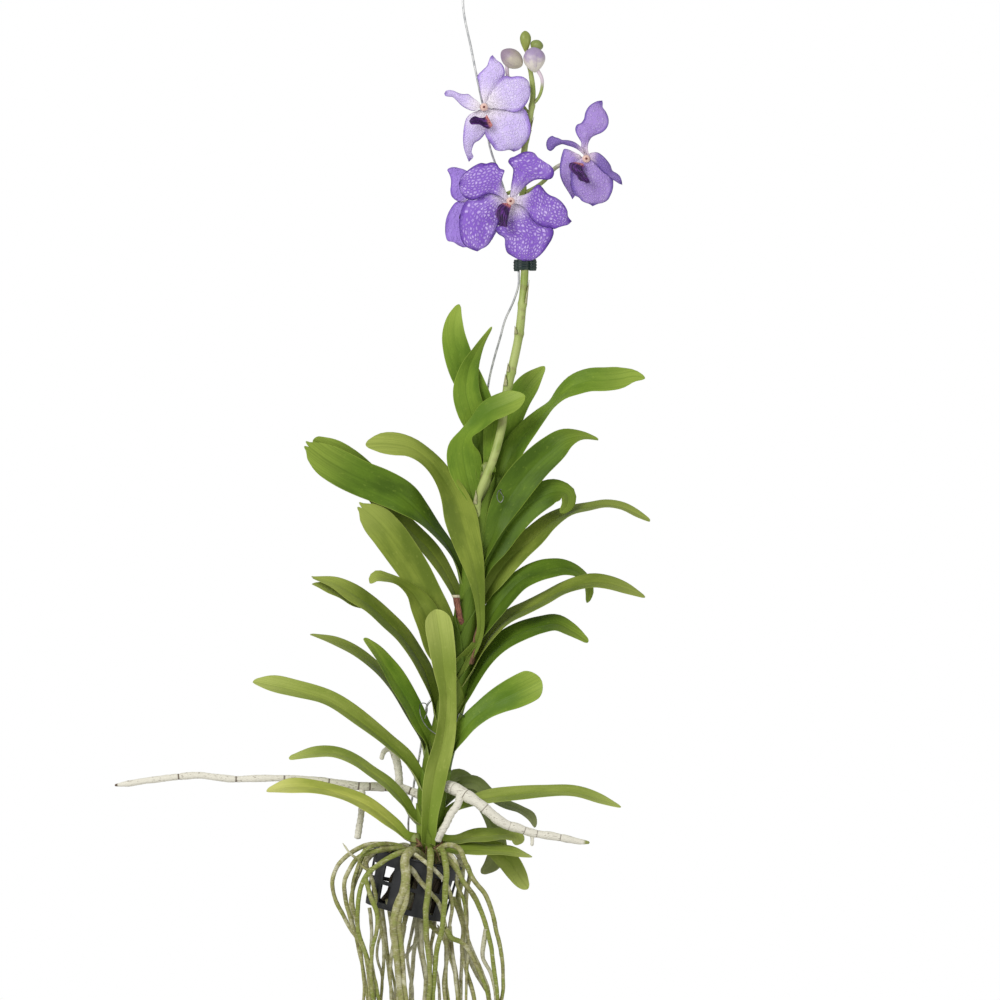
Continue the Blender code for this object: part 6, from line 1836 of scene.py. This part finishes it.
# Hanging strands: radius at the crown and at the tip, how green, then x, y, depth
STRANDS = [
    (2.6, 1.6, 0.45, [(424, 858, -4), (406, 848, -16), (372, 843, -26), (352, 850, -30), (339, 863, -31),
     (334, 888, -30), (345, 917, -27), (362, 945, -24), (370, 985, -20), (372, 1040, -15),
     (368, 1090, -12), (371, 1150, -10)]),
    (2.9, 1.6, 0.55, [(424, 859, -2), (410, 850, -20), (382, 848, -38), (357, 857, -40), (347, 874, -40),
     (346, 896, -39), (352, 920, -36), (364, 948, -30), (374, 990, -23), (378, 1050, -17),
     (382, 1120, -12)]),
    (3.1, 1.6, 0.75, [(425, 858, -6), (413, 849, -32), (398, 851, -50), (384, 858, -54), (371, 868, -55),
     (362, 881, -54), (358, 901, -52), (359, 925, -47), (366, 950, -40), (378, 985, -30), (386, 1040, -20),
     (390, 1100, -14)]),
    (2.6, 1.5, 0.7, [(366, 874, -55), (371, 893, -54), (378, 912, -53), (378, 930, -50), (373, 948, -44),
     (372, 975, -36), (380, 1020, -26), (384, 1080, -18)]),
    (5.6, 1.8, 0.45, [(424, 860, -6), (412, 849, -34), (406, 856, -53), (406, 872, -56), (404, 886, -56),
     (398, 902, -55), (395, 925, -51), (397, 950, -45), (401, 985, -37), (404, 1040, -25),
     (402, 1110, -16), (405, 1180, -12)]),
    (3.2, 1.6, 0.5, [(407, 880, -56), (406, 898, -55), (401, 916, -53), (402, 940, -47), (404, 965, -41),
     (408, 1010, -31), (410, 1070, -20), (409, 1130, -14)]),
    (3.6, 1.7, 0.65, [(430, 860, -8), (431, 849, -36), (431, 861, -52), (429, 882, -55), (427, 903, -54),
     (427, 925, -49), (429, 950, -43), (430, 985, -35), (428, 1040, -25), (426, 1110, -17),
     (428, 1190, -12)]),
    (3.5, 1.7, 0.85, [(434, 860, -8), (443, 849, -38), (446, 863, -50), (446, 885, -53), (445, 905, -52),
     (442, 925, -48), (437, 950, -42), (434, 980, -34), (437, 1030, -24), (440, 1090, -16),
     (438, 1160, -12)]),
    (3.2, 1.6, 0.75, [(434, 858, -6), (443, 852, -31), (455, 864, -39), (464, 879, -40), (474, 893, -40),
     (483, 913, -37), (490, 938, -33), (494, 965, -29), (498, 1000, -24), (500, 1040, -20),
     (497, 1090, -16), (500, 1150, -12)]),
    (3.0, 1.6, 0.55, [(434, 858, -8), (438, 849, -27), (448, 843, -31), (459, 846, -33), (466, 860, -34),
     (474, 878, -33), (485, 892, -31), (492, 910, -30), (497, 932, -28), (502, 958, -25), (503, 985, -21),
     (499, 1015, -18), (500, 1060, -14), (505, 1110, -12)]),
    (2.6, 1.5, 0.3, [(437, 860, 2), (452, 861, 8), (464, 863, 12), (469, 873, 14), (467, 890, 16),
     (467, 910, 16), (466, 930, 14), (462, 960, 12), (460, 1000, 10), (464, 1060, 8), (462, 1120, 6)]),
    (3.8, 1.7, 0.25, [(436, 860, 6), (450, 850, 32), (459, 858, 42), (461, 880, 46), (458, 902, 42),
     (461, 914, 34), (464, 935, 24), (466, 970, 18), (474, 1000, 14), (478, 1050, 10), (476, 1110, 8)]),
    (2.6, 1.5, 0.4, [(464, 933, 24), (470, 946, 16), (479, 966, 12), (487, 986, 10), (490, 1010, 8),
     (488, 1060, 8)]),
    (2.3, 1.4, 0.35, [(465, 952, 20), (473, 968, 21), (481, 983, 19), (488, 996, 15), (491, 1030, 12),
     (487, 1080, 10)]),
    (2.6, 1.5, 0.05, [(487, 926, -35), (484, 942, -28), (483, 957, -23), (490, 970, -20), (494, 985, -18),
     (493, 1040, -14)]),
    (3.4, 1.6, 0.3, [(425, 862, 0), (416, 885, -12), (408, 908, -20), (402, 930, -22), (400, 960, -20),
     (398, 1010, -16), (396, 1080, -12)]),
    (3.2, 1.6, 0.2, [(430, 862, 4), (426, 885, 14), (420, 908, 20), (417, 930, 18), (421, 955, 14),
     (426, 1000, 10), (422, 1070, 6)]),
    (3.4, 1.6, 0.3, [(430, 862, 0), (431, 885, -7), (429, 905, -9), (430, 922, -9), (443, 936, -11),
     (452, 955, -12), (457, 985, -11), (458, 1040, -9), (456, 1120, -6)]),
    (3.2, 1.6, 0.25, [(430, 858, 8), (436, 848, 36), (436, 860, 52), (430, 885, 53), (422, 915, 46),
     (414, 950, 34), (410, 1000, 24), (412, 1070, 16), (410, 1140, 10)]),
    (3.0, 1.5, 0.3, [(424, 860, 8), (398, 849, 36), (386, 860, 44), (378, 890, 44), (380, 920, 38),
     (386, 955, 28), (392, 1000, 20), (394, 1060, 14), (391, 1120, 8)]),
    (2.8, 1.5, 0.35, [(422, 858, 4), (396, 849, 18), (370, 852, 26), (360, 868, 28), (352, 890, 28),
     (350, 912, 25), (358, 945, 20), (366, 990, 15), (372, 1050, 11), (378, 1110, 8)]),
    (2.4, 1.3, 0.3, [(388, 898, -20), (391, 918, -24), (393, 940, -26), (391, 965, -24), (393, 1010, -18),
     (390, 1080, -12)]),
    (2.6, 1.4, 0.4, [(452, 898, -14), (458, 908, -20), (463, 922, -20), (462, 948, -17), (467, 972, -14),
     (474, 995, -12), (478, 1030, -10), (476, 1090, -8)]),
    (2.8, 1.4, 0.55, [(445, 925, -46), (452, 935, -40), (462, 940, -34), (470, 950, -30), (479, 968, -26),
     (486, 988, -22), (489, 1020, -18), (484, 1090, -12)]),
    (2.2, 1.3, 0.2, [(450, 925, -20), (452, 945, -22), (455, 968, -20), (457, 1000, -16),
     (452, 1070, -10)]),
    (2.4, 1.3, 0.25, [(444, 925, -26), (448, 950, -26), (445, 975, -22), (446, 1005, -18),
     (443, 1080, -12)]),
    (2.8, 1.6, 0.3, [(409, 862, -40), (418, 876, -46), (428, 887, -46), (438, 898, -42), (444, 915, -36),
     (447, 940, -30), (445, 985, -24), (448, 1050, -14)]),
    (2.4, 1.4, 0.35, [(416, 852, -40), (428, 861, -48), (438, 871, -46), (448, 884, -40), (452, 900, -34),
     (450, 925, -28), (447, 960, -22), (450, 1020, -14)]),
    (2.4, 1.3, 0.15, [(404, 925, -12), (401, 950, -14), (403, 980, -14), (406, 1030, -10),
     (402, 1090, -8)]),
    (2.6, 1.4, 0.2, [(421, 920, -20), (422, 945, -24), (426, 975, -22), (422, 1020, -18),
     (419, 1090, -12)]),
    (2.0, 1.2, 0.05, [(415, 912, 6), (412, 932, 4), (408, 955, 2), (412, 990, 0), (415, 1060, 0)]),
    (2.2, 1.2, 0.3, [(382, 905, 8), (385, 930, 6), (389, 955, 4), (394, 985, 2), (396, 1050, 2)]),
    (2.0, 1.2, 0.35, [(370, 905, -34), (372, 925, -34), (371, 948, -30), (376, 985, -26),
     (374, 1050, -18)]),
    (1.6, 1.1, 0.2, [(381, 930, -20), (377, 950, -18), (382, 975, -16), (379, 1030, -12)]),
    (2.4, 1.3, 0.2, [(434, 900, 18), (435, 925, 16), (432, 950, 12), (438, 985, 10), (434, 1060, 6)]),
    (2.4, 1.4, 0.5, [(366, 848, 10), (357, 868, 8), (353, 890, 4), (354, 912, 0), (360, 940, -4),
     (364, 985, -6), (360, 1050, -6)]),
    (1.5, 0.9, 0.2, [(357, 856, -38), (350, 850, -40), (346, 845, -40), (343, 841, -40)]),
    (2.4, 1.4, 0.35, [(376, 850, -10), (366, 862, -18), (372, 878, -26), (377, 895, -28), (379, 915, -26),
     (384, 945, -22), (382, 990, -16), (386, 1060, -10)]),
    (2.6, 1.4, 0.6, [(402, 846, -24), (386, 842, -34), (370, 846, -44), (360, 858, -48), (368, 866, -52),
     (382, 858, -56), (394, 854, -58)]),
    (2.2, 1.3, 0.4, [(440, 852, -30), (452, 853, -36), (458, 866, -38), (457, 880, -36), (464, 898, -32),
     (466, 915, -28), (469, 940, -22), (466, 985, -16), (470, 1050, -10)]),
    (2.0, 1.2, 0.1, [(458, 985, 4), (452, 965, 2), (446, 945, 2), (438, 925, 4)]),
    (1.8, 1.1, 0.05, [(405, 958, -2), (414, 945, -4), (423, 934, -6), (431, 926, -8)]),
]


@dataclass
class AerialRoot:
    """A thick root that reaches out into the air, with its branches and the cracks across it."""

    name: str
    paths: list[list[tuple[float, ...]]]
    growth: StrandGrowth
    tip: float
    wet: float
    dark_tip: bool
    crack_depth: float = 0.45

    def build(self) -> None:
        """Builds the root as one piece."""
        rows = []
        for i, path in enumerate(self.paths):
            row = smooth(on_axes(path), 80 * (4 if i == 0 else 1))
            share = np.linspace(0, 1, len(row))
            cut = share * 0
            for crack in CRACKS[self.name] if i == 0 else ():
                cut = np.maximum(cut, np.exp(-(((share - crack) / 0.0035) ** 2)))
            row[:, 3] *= 1 + 0.05 * np.sin(share * 60)
            row[:, 3] -= self.crack_depth * cut
            row[-1, 3] *= 0.5
            rows.append(np.column_stack([row, cut]))
        tones = [(self.wet, self.tip)] + [(self.wet, 1.0)] * (len(rows) - 1)
        bare = (0.1, 0.06, 0.03) if self.dark_tip else (0.25, 0.28, 0.06)
        finish = RootFinish(self.name + "_coat", dry=(0.76, 0.73, 0.62), straw=(0.62, 0.58, 0.44), bare=bare,
                            green=(0.3, 0.36, 0.16), stain_and_shade_share=0.0)
        root = self.growth.along(self.name, rows, tones, finish.material(), Step=0.001, Sides=20, Lump=0.3,
                                 Grain=0.0006, Wander=0.002)
        present(root, "aerial_root", self.name)


@dataclass
class HangingRoots:
    """The bunch of roots that hangs from the crown, over and through the basket."""

    growth: StrandGrowth
    damp: float = 0.04
    strand_rows: int = 90
    old_count: int = 34
    old_rows: int = 30
    old_reach: float = 33.0
    fibre_count: int = 46
    fibre_rows: int = 24
    heart_sides: int = 32
    heart_rows: int = 20
    crown: tuple[tuple[float, float, float], tuple[float, float, float]] = ((428, 858.5, 0), (14, 7.5, 11))

    def heart(self, shells: Shells) -> None:
        """Adds the lumpy crown that every strand grows from.

        Args:
            shells: What it is added to.
        """
        (x, y, depth), (wide, tall, deep) = self.crown
        angles = np.arange(self.heart_sides) * math.tau / self.heart_sides
        rings = []
        for high in np.linspace(0.1, math.pi - 0.1, self.heart_rows):
            lump = 1 + 0.09 * np.sin(5 * angles + 3 * high) * math.sin(high) + 0.05 * np.cos(9 * angles)
            spread = math.sin(high) * lump
            ring = [
                x + wide * spread * np.cos(angles),
                np.full(self.heart_sides, y - tall * math.cos(high)),
                depth + deep * spread * np.sin(angles),
            ]
            rings.append(on_axes(np.column_stack(ring)))
        shells.add_rod(np.array(rings))

    def old_roots(self, basket: "NetBasket") -> list[Array]:
        """Lays out the dead roots packed in the basket.

        Args:
            basket: The basket they lie in.

        Returns:
            X, Y, Z and radius along each root.
        """
        chance = np.random.default_rng(7)
        paths = []
        for _ in range(self.old_count):
            turn = chance.uniform(0, math.tau)
            reach = self.old_reach * math.sqrt(chance.uniform(0.02, 1))
            start = np.array([8 + reach * 0.8 * math.cos(turn), reach * math.sin(turn), -1.0])
            drift = chance.uniform(-9, 9, (5, 2)).cumsum(axis=0) * 0.5
            rows = [(*(start[:2] + step), -3 - 11.5 * i) for i, step in enumerate(drift)]
            rows = basket.tilted(smooth(rows, self.old_rows))
            paths.append(np.column_stack([rows, np.full(self.old_rows, chance.uniform(1.6, 3.4))]))
        return paths

    def fibres(self) -> list[Array]:
        """Lays out the frayed brown fibres that curl out of the crown and over the basket's rim.

        Returns:
            X, Y, Z and radius along each fibre.
        """
        chance = np.random.default_rng(11)
        paths = []
        for _ in range(self.fibre_count):
            turn = chance.uniform(0, math.tau)
            out = np.array([math.cos(turn), 0.0, math.sin(turn)])
            start = np.array([428.0, 854.0, 0.0]) + out * (12, 0, 10)
            reach = chance.uniform(8, 40)
            lift = chance.uniform(0, 9)
            fall = chance.uniform(-2, 16)
            middle = start + out * reach * 0.5 - (0, lift, 0)
            rows = [start, middle, start + out * reach + (0, fall - lift, 0)]
            bent = np.array(rows) + chance.uniform(-3, 3, (3, 3))
            radii = np.linspace(1.0, 0.35, self.fibre_rows)
            paths.append(np.column_stack([smooth(on_axes(bent), self.fibre_rows), radii]))
        return paths

    def build(self) -> None:
        """Builds the strands, the crown, the dead roots and the fibres, each as a piece."""
        rows, tones = [], []
        for thick, thin, wet, path in STRANDS:
            row = smooth(on_axes(path), self.strand_rows)
            share = np.linspace(0, 1, self.strand_rows)
            radii = thin + (thick - thin) * (1 - share) ** 1.7
            radii[-1] *= 0.4
            rows.append(np.column_stack([row, radii]))
            tones.append((wet + self.damp, 1.0))
        living = RootFinish("strand_coat").material()
        strands = self.growth.along("hanging_roots", rows, tones, living, Step=0.0035, Sides=14, Lump=0.42,
                                    Grain=0.0006, Wander=0.005)
        present(strands, "hanging_root", "hanging_roots")
        dead = RootFinish("dead_coat", (0.1, 0.075, 0.045), (0.055, 0.04, 0.025), (0.03, 0.026, 0.018))
        paths = self.old_roots(NetBasket())
        packed = self.growth.along("old_roots", paths, [(0.4, 1.0)] * len(paths), dead.material(),
                                   Step=0.0035, Sides=9, Lump=0.5, Grain=0.0006, Wander=0.006)
        present(packed, "hanging_root")
        frayed = RootFinish("fibre_coat", (0.3, 0.2, 0.1), (0.18, 0.1, 0.05), (0.1, 0.07, 0.03)).material()
        paths = self.fibres()
        tones = [(0.3, 1.0)] * len(paths)
        fringe = self.growth.along("crown_fibres", paths, tones, frayed, Step=0.0015, Sides=6)
        present(fringe, "hanging_root")
        shells = Shells()
        self.heart(shells)
        husk = HuskFinish("crown_skin", (0.13, 0.1, 0.05), (0.3, 0.28, 0.15))
        present(shells.piece("root_crown", husk.material()), "hanging_root")


# Basket, wire, clip and ties


@dataclass
class NetBasket:
    """The small black net basket that the first roots grew round."""

    rim: tuple[float, float, float] = (418, 858, 0)
    tilt: float = 13.5
    radius: float = 43.0
    foot_radius: float = 40.0
    height: float = 55.0
    wall: float = 1.8
    sectors: int = 10
    phase: float = 18.0
    ribs: tuple[float, ...] = (0.22, 0.29, 0.5, 0.71, 0.78, 0.87, 0.95, 1.0, 1.05, 1.13, 1.22)
    rib_end: float = 0.78
    softening: float = 0.35

    def levels(self) -> list[tuple[float, float, bool]]:
        """Lays out the basket's rings from the rim to the foot's middle.

        Returns:
            Radius, height and whether the band below is closed, for each ring.
        """
        drop, rim, foot = self.height, self.radius, self.foot_radius
        return [
            (rim + 2.5, 0.0, True), (rim, -1.0, True), (rim - 0.2, -6.0, True), (rim - 0.5, -13.0, False),
            (rim - 0.8, -18.0, False), (rim - 1.1, -23.0, False), (rim - 1.3, -28.0, True),
            (rim - 1.5, -32.0, False), (rim - 2.0, -38.0, False), (rim - 2.4, -44.0, False),
            (foot + 0.4, 5 - drop, True), (foot, -drop, True), (foot - 7, -drop, False),
            (foot - 18, -drop, False), (9.0, -drop, True), (3.0, -drop, True),
        ]

    def tilted(self, points: Array) -> Array:
        """Tilts the upright basket's points and puts them in their place.

        Args:
            points: The points of the upright basket, in millimetres.

        Returns:
            The points as the basket hangs.
        """
        tilt = math.radians(self.tilt)
        x = points[:, 0] * math.cos(tilt) + points[:, 2] * math.sin(tilt)
        z = points[:, 2] * math.cos(tilt) - points[:, 0] * math.sin(tilt)
        return np.column_stack([x, points[:, 1], z]) + on_axes([self.rim])[0]

    def sector(self) -> bpy.types.Mesh:
        """Makes one sector of the basket about the upright axis.

        Returns:
            The sector as an open mesh.
        """
        levels = self.levels()
        step = math.tau / self.sectors
        points = []
        for radius, height, _ in levels:
            for share in self.ribs:
                turn = math.radians(self.phase) + step * share
                points.append((radius * math.cos(turn) * MM, radius * math.sin(turn) * MM, height * MM))
        faces = []
        width = len(self.ribs)
        for i, (_, _, closed) in enumerate(levels[:-1]):
            for j in range(width - 1):
                if closed or self.ribs[j + 1] <= self.rib_end:
                    near, far = i * width + j, (i + 1) * width + j
                    faces.append((near, far, far + 1, near + 1))
        mesh = bpy.data.meshes.new("basket_sector")
        mesh.from_pydata(points, [], faces)
        return mesh

    def build(self) -> None:
        """Builds the basket, walled, softened at its edges, tilted and set in its place."""
        plastic = PlasticFinish("basket_plastic", (0.012, 0.013, 0.016), (0.06, 0.06, 0.055), 0.42, 0.6)
        finish = plastic.material()
        basket = SectorGrowth().grow("net_basket", self.sector(), Count=self.sectors, Finish=finish)
        wall = basket.modifiers.new("wall", "SOLIDIFY")
        wall.thickness = self.wall * MM
        wall.offset = 0
        edge = basket.modifiers.new("edge", "BEVEL")
        edge.width = self.softening * MM
        edge.segments = 2
        edge.angle_limit = math.radians(50)
        depsgraph = bpy.context.evaluated_depsgraph_get()
        mesh = bpy.data.meshes.new_from_object(basket.evaluated_get(depsgraph), depsgraph=depsgraph)
        basket.modifiers.clear()
        points = np.array([v.co for v in mesh.vertices]) / MM
        mesh.vertices.foreach_set("co", (self.tilted(points) * MM).ravel())
        basket.data = mesh
        present(basket, "basket", "net_basket")


# Wire below the hook, down behind the plant and through a window at the back of the basket
WIRE = [
    (466.5, -30, 0), (463, 0, 0), (471.5, 50, 0), (480, 92, 0), (486, 120, 3), (490, 147, 6),
    (497, 168, 9), (506, 195, 12), (513, 225, 10), (517.5, 250, 3), (518.2, 264, 0), (518.5, 285, 0),
    (514, 300, 4), (505, 320, 10), (500, 338, 15), (495, 355, 19), (489, 380, 23), (486, 410, 27),
    (486, 450, 29), (489, 490, 29), (484, 540, 28), (479, 590, 28), (470, 635, 28), (452, 675, 28),
    (435, 697, 27), (427, 706, 26), (425, 718, 26), (421, 745, 26), (417, 768, 27), (414, 782, 29),
    (412, 798, 32), (408, 821, 39), (408, 835, 44), (410.5, 847, 47.5), (412.5, 857, 48.4),
    (413, 867, 48.4), (413, 875, 47), (413, 879, 43.5), (413, 880, 39), (413, 880, 33),
]

# Wire ties round cane and hanger: x, y, depth
TIES = {
    "tie_upper": [(487, 478, 26), (496, 486, 10), (501, 493, -14), (503.5, 498, -17), (500.5, 502.5, -17),
        (497.5, 499, -16), (498, 492, -14), (503, 489, -8), (505, 495, 4), (500, 500, 14), (491, 492, 26)],
    "tie_lower": [(425, 718, -14), (427.5, 709, -17), (426, 703, -18), (421, 703, -17), (420, 709, -15),
        (424, 722, -14), (431, 730, -14), (438, 734, -14.5), (447, 732, -15), (456, 722, -15),
        (460, 713, -14), (464, 716, -10), (466, 728, -7)],
}


@dataclass
class Hanger:
    """The stiff wire with its hook, and the two thin ties that hold the cane to it."""

    growth: StrandGrowth
    radius: float = 1.1
    hook_radius: float = 17.0
    hook_steps: int = 8
    tie_radius: float = 0.5
    wire_rows: int = 700
    tie_rows: int = 160

    def build(self) -> None:
        """Builds the hanger wire and the ties."""
        centre = (HOOK_SEAT[0], HOOK_SEAT[1] + self.hook_radius - self.radius)
        path = [(centre[0] - self.hook_radius - 3, centre[1] + 12, 0)]
        for step in range(self.hook_steps + 1):
            way = math.pi * step / self.hook_steps
            left, up = self.hook_radius * math.cos(way), self.hook_radius * math.sin(way)
            path.append((centre[0] - left, centre[1] - up, 0))
        rows = smooth(on_axes(path + WIRE), self.wire_rows)
        metal = WireFinish().material()
        wire = np.column_stack([rows, np.full(len(rows), self.radius)])
        drawn = self.growth.along("hanger_wire", [wire], [(0.0, 1.0)], metal, Step=0.002, Sides=16)
        present(drawn, "wire", "hanger_wire")
        coated = WireFinish("coated_tie", (0.06, 0.08, 0.05), (0.3, 0.31, 0.28), 0.5).material()
        for name, points in TIES.items():
            rows = smooth(on_axes(points), self.tie_rows)
            tie = np.column_stack([rows, np.full(len(rows), self.tie_radius)])
            drawn = self.growth.along(name, [tie], [(0.0, 1.0)], coated, Step=0.0008, Sides=10)
            present(drawn, "wire")


@dataclass
class SpikeClip:
    """The spring clip that holds the spike to the wire: a ribbed band with a lobe on each side."""

    middle: tuple[float, float, float] = (523.0, 265.0, 0.0)
    semi_axes: tuple[float, float] = (7.3, 5.1)
    half_height: float = 5.0
    wall: float = 1.3
    ribs: int = 4
    grid: tuple[int, int] = (25, 60)
    lobes: tuple[tuple[float, ...], ...] = ((516.8, 265.5, -1.5, 2.6), (532.6, 265, -1.5, 3.4))

    def band(
        self, shells: Shells, centre: tuple[float, float, float], radii: tuple[float, float],
        arc: tuple[float, float], half: float
    ) -> None:
        """Adds one upright ribbed band bent round a centre.

        Args:
            shells: What it is added to.
            centre: The middle of the bend on the sheet.
            radii: The bend's half width and half depth.
            arc: Where it starts and how far it goes round, in degrees.
            half: Half its height.
        """
        heights = np.linspace(-1, 1, self.grid[0])
        ripple = 0.28 * np.cos(heights * math.pi * self.ribs)
        turns = np.radians(np.linspace(arc[0], arc[0] + arc[1], self.grid[1]))
        front, back = [], []
        for level, bulge in zip(heights, ripple):
            ends = max(0.0, 1 - abs(level) ** 6)
            for grid, off in ((front, self.wall / 2 * ends + bulge * ends), (back, -self.wall / 2 * ends)):
                line = [(centre[0] + (radii[0] + off) * math.cos(t), centre[1] + half * level,
                         centre[2] + (radii[1] + off) * math.sin(t)) for t in turns]
                grid.append(on_axes(line))
        front, back = np.array(front), np.array(back)
        front[:, [0, -1]] = back[:, [0, -1]] = (front[:, [0, -1]] + back[:, [0, -1]]) / 2
        shells.add_sheet(front, back)

    def build(self) -> None:
        """Builds the clip as one piece."""
        shells = Shells()
        self.band(shells, self.middle, self.semi_axes, (200, 320), self.half_height)
        for x, y, depth, radius in self.lobes:
            start = 20 if x > self.middle[0] else 200
            self.band(shells, (x, y, depth), (radius, radius), (start - 180, 330), self.half_height * 1.15)
        finish = PlasticFinish("clip_plastic", (0.012, 0.03, 0.022), (0.06, 0.08, 0.07), 0.22, 0.4)
        present(shells.piece("spike_clip", finish.material()), "clip", "spike_clip")


# Dry scales left on the cane: height of the foot, side, length, width
DRY_SCALES = [
    (642, 1, 34, 5), (664, 1, 26, 5), (620, 1, 20, 4), (846, -1, 12, 7), (850, 1, 10, 8),
]


@dataclass
class OldStalk:
    """The dried stub of an earlier flower stalk with its pale cut ring, and the dry scales on the cane."""

    cane: Cane
    path: tuple[tuple[float, ...], ...] = (
        (463, 627, -6, 2.6), (461, 620, -11.5, 2.8), (458.5, 610, -14, 3), (457, 602, -15, 3.2),
        (455.5, 595, -16, 3.6),
    )
    rings: int = 40
    sides: int = 22

    def build(self) -> None:
        """Builds the stub with its torn skin and pale end, and the dry scales as a piece of their own."""
        rows = smooth(on_axes(self.path), self.rings)
        angles = np.arange(self.sides) * math.tau / self.sides
        radii = rows[:, 3:4] * (1 + 0.1 * np.sin(3 * angles + rows[:, 2:3] * 0.5))
        rings = np.stack([rows[:, 0:1] + radii * np.cos(angles), rows[:, 1:2] + radii * np.sin(angles),
                          rows[:, 2:3] + 0 * radii], axis=2)
        shells = Shells()
        shells.add_rod(rings)
        top = rings[-4:] + np.array([0, -0.4, 0.3])
        middle = top.mean(axis=1, keepdims=True)
        shells.add_rod((top - middle) * 1.12 + middle, slot=1)
        husk = HuskFinish("stub_skin", (0.13, 0.045, 0.03), (0.33, 0.13, 0.08)).material()
        cut = HuskFinish("stub_cut", (0.45, 0.4, 0.26), (0.68, 0.62, 0.45)).material()
        present(shells.piece("old_stalk", husk, cut), "old_stalk", "old_stalk")
        scales = Shells()
        for scale in DRY_SCALES:
            clasping_scale(scales, self.cane, *scale, 4.2)
        dry = HuskFinish("dry_scale", (0.09, 0.035, 0.02), (0.26, 0.15, 0.07)).material()
        present(scales.piece("dry_scales", dry), "old_stalk")


# Camera, floor and light


@dataclass
class Studio:
    """A level camera, a pale floor below the roots and soft light from the upper left."""

    eye: tuple[float, float, float] = (0.05, -6.0, -0.565)
    lens: float = 216.0
    sensor: float = 36.0
    target: tuple[float, float, float] = (0.0, 0.0, -0.55)
    floor_height: float = -1.34
    floor_reach: float = 2.8
    floor_corners: int = 96
    key_power: float = 70.0
    fill_power: float = 14.0
    sky: float = 0.52

    def lamp(self, name: str, place: tuple[float, float, float], size: float, power: float) -> None:
        """Adds one square soft light that shines at the middle of the plant.

        Args:
            name: The lamp's name.
            place: Where it stands, in metres.
            size: The length of its sides.
            power: Its power in watts.
        """
        data = bpy.data.lights.new(name, "AREA")
        data.shape = "SQUARE"
        data.size = size
        data.energy = power
        lamp = bpy.data.objects.new(name, data)
        bpy.context.scene.collection.objects.link(lamp)
        lamp.location = place
        aim = np.array(self.target) - np.array(place)
        pitch = math.atan2(math.hypot(aim[0], aim[1]), -aim[2])
        lamp.rotation_euler = (pitch, 0.0, math.atan2(-aim[0], aim[1]))

    def build(self) -> None:
        """Sets up camera, floor, lights and sky."""
        scene = bpy.context.scene
        camera = bpy.data.cameras.new("camera")
        camera.lens = self.lens
        camera.sensor_width = self.sensor
        camera.clip_end = 50
        viewer = bpy.data.objects.new("camera", camera)
        viewer.location = self.eye
        viewer.rotation_euler = (math.pi / 2, 0, 0)
        scene.collection.objects.link(viewer)
        scene.camera = viewer
        mesh = bpy.data.meshes.new("floor")
        turns = np.arange(self.floor_corners) * math.tau / self.floor_corners
        rim = np.column_stack([np.cos(turns), np.sin(turns)]) * self.floor_reach
        corners = [(x, y, self.floor_height) for x, y in rim.tolist()]
        mesh.from_pydata(corners, [], [tuple(range(self.floor_corners))])
        paint = Recipe("floor_paint")
        speckle = paint.noise(paint.place(), 40.0, 3)
        tone = paint.tint(speckle, (0.84, 0.84, 0.84), (0.88, 0.88, 0.88))
        mesh.materials.append(paint.finish(tone, 0.8, speckle, 0.1))
        floor = bpy.data.objects.new("floor", mesh)
        scene.collection.objects.link(floor)
        self.lamp("key_light", (-1.7, -2.6, 1.1), 1.6, self.key_power)
        self.lamp("fill_light", (2.2, -2.4, -0.4), 2.0, self.fill_power)
        scene.view_settings.view_transform = "Standard"
        world = bpy.data.worlds.new("studio")
        world.use_nodes = True
        scene.world = world
        sky = Tree(world.node_tree)
        back = world.node_tree.nodes["Background"]
        back.inputs["Color"].default_value = (1, 1, 1, 1)
        back.inputs["Strength"].default_value = self.sky
        seen = sky.add("ShaderNodeBackground", {"Color": (1, 1, 1, 1), "Strength": 1.0})
        rays = sky.add("ShaderNodeLightPath").outputs["Is Camera Ray"]
        both = sky.add("ShaderNodeMixShader", {0: rays, 1: back.outputs[0], 2: seen.outputs[0]})
        sky.tree.links.new(both.outputs[0], world.node_tree.nodes["World Output"].inputs[0])


def main() -> None:
    """Builds every sub-assembly."""
    logging.basicConfig(level=logging.INFO, format="%(message)s")
    Studio().build()
    growth = StrandGrowth()
    cane = Cane()
    cane.build()
    LeafFan(cane).build()
    OldStalk(cane).build()
    Spike(growth).build()
    pedicel = PedicelFinish().material()
    BudCluster(growth).build(pedicel)
    lip, column = LipFinish().material(), ColumnFinish().material()
    petals = {name: finish.material() for name, finish in PETAL_FINISHES.items()}
    for name, plan in FLOWERS.items():
        side = petals.get(name + "_side", petals[name])
        finishes = {"petal": petals[name], "side": side, "column": column, "pedicel": pedicel}
        Flower(name, plan, growth).build(finishes, lip)
    AerialRoot("root_left", ROOT_LEFT, growth, 0.97, -0.25, True).build()
    AerialRoot("root_right", ROOT_RIGHT, growth, 0.9, -0.2, False).build()
    HangingRoots(growth).build()
    NetBasket().build()
    Hanger(growth).build()
    SpikeClip().build()


if __name__ == "__main__":
    main()
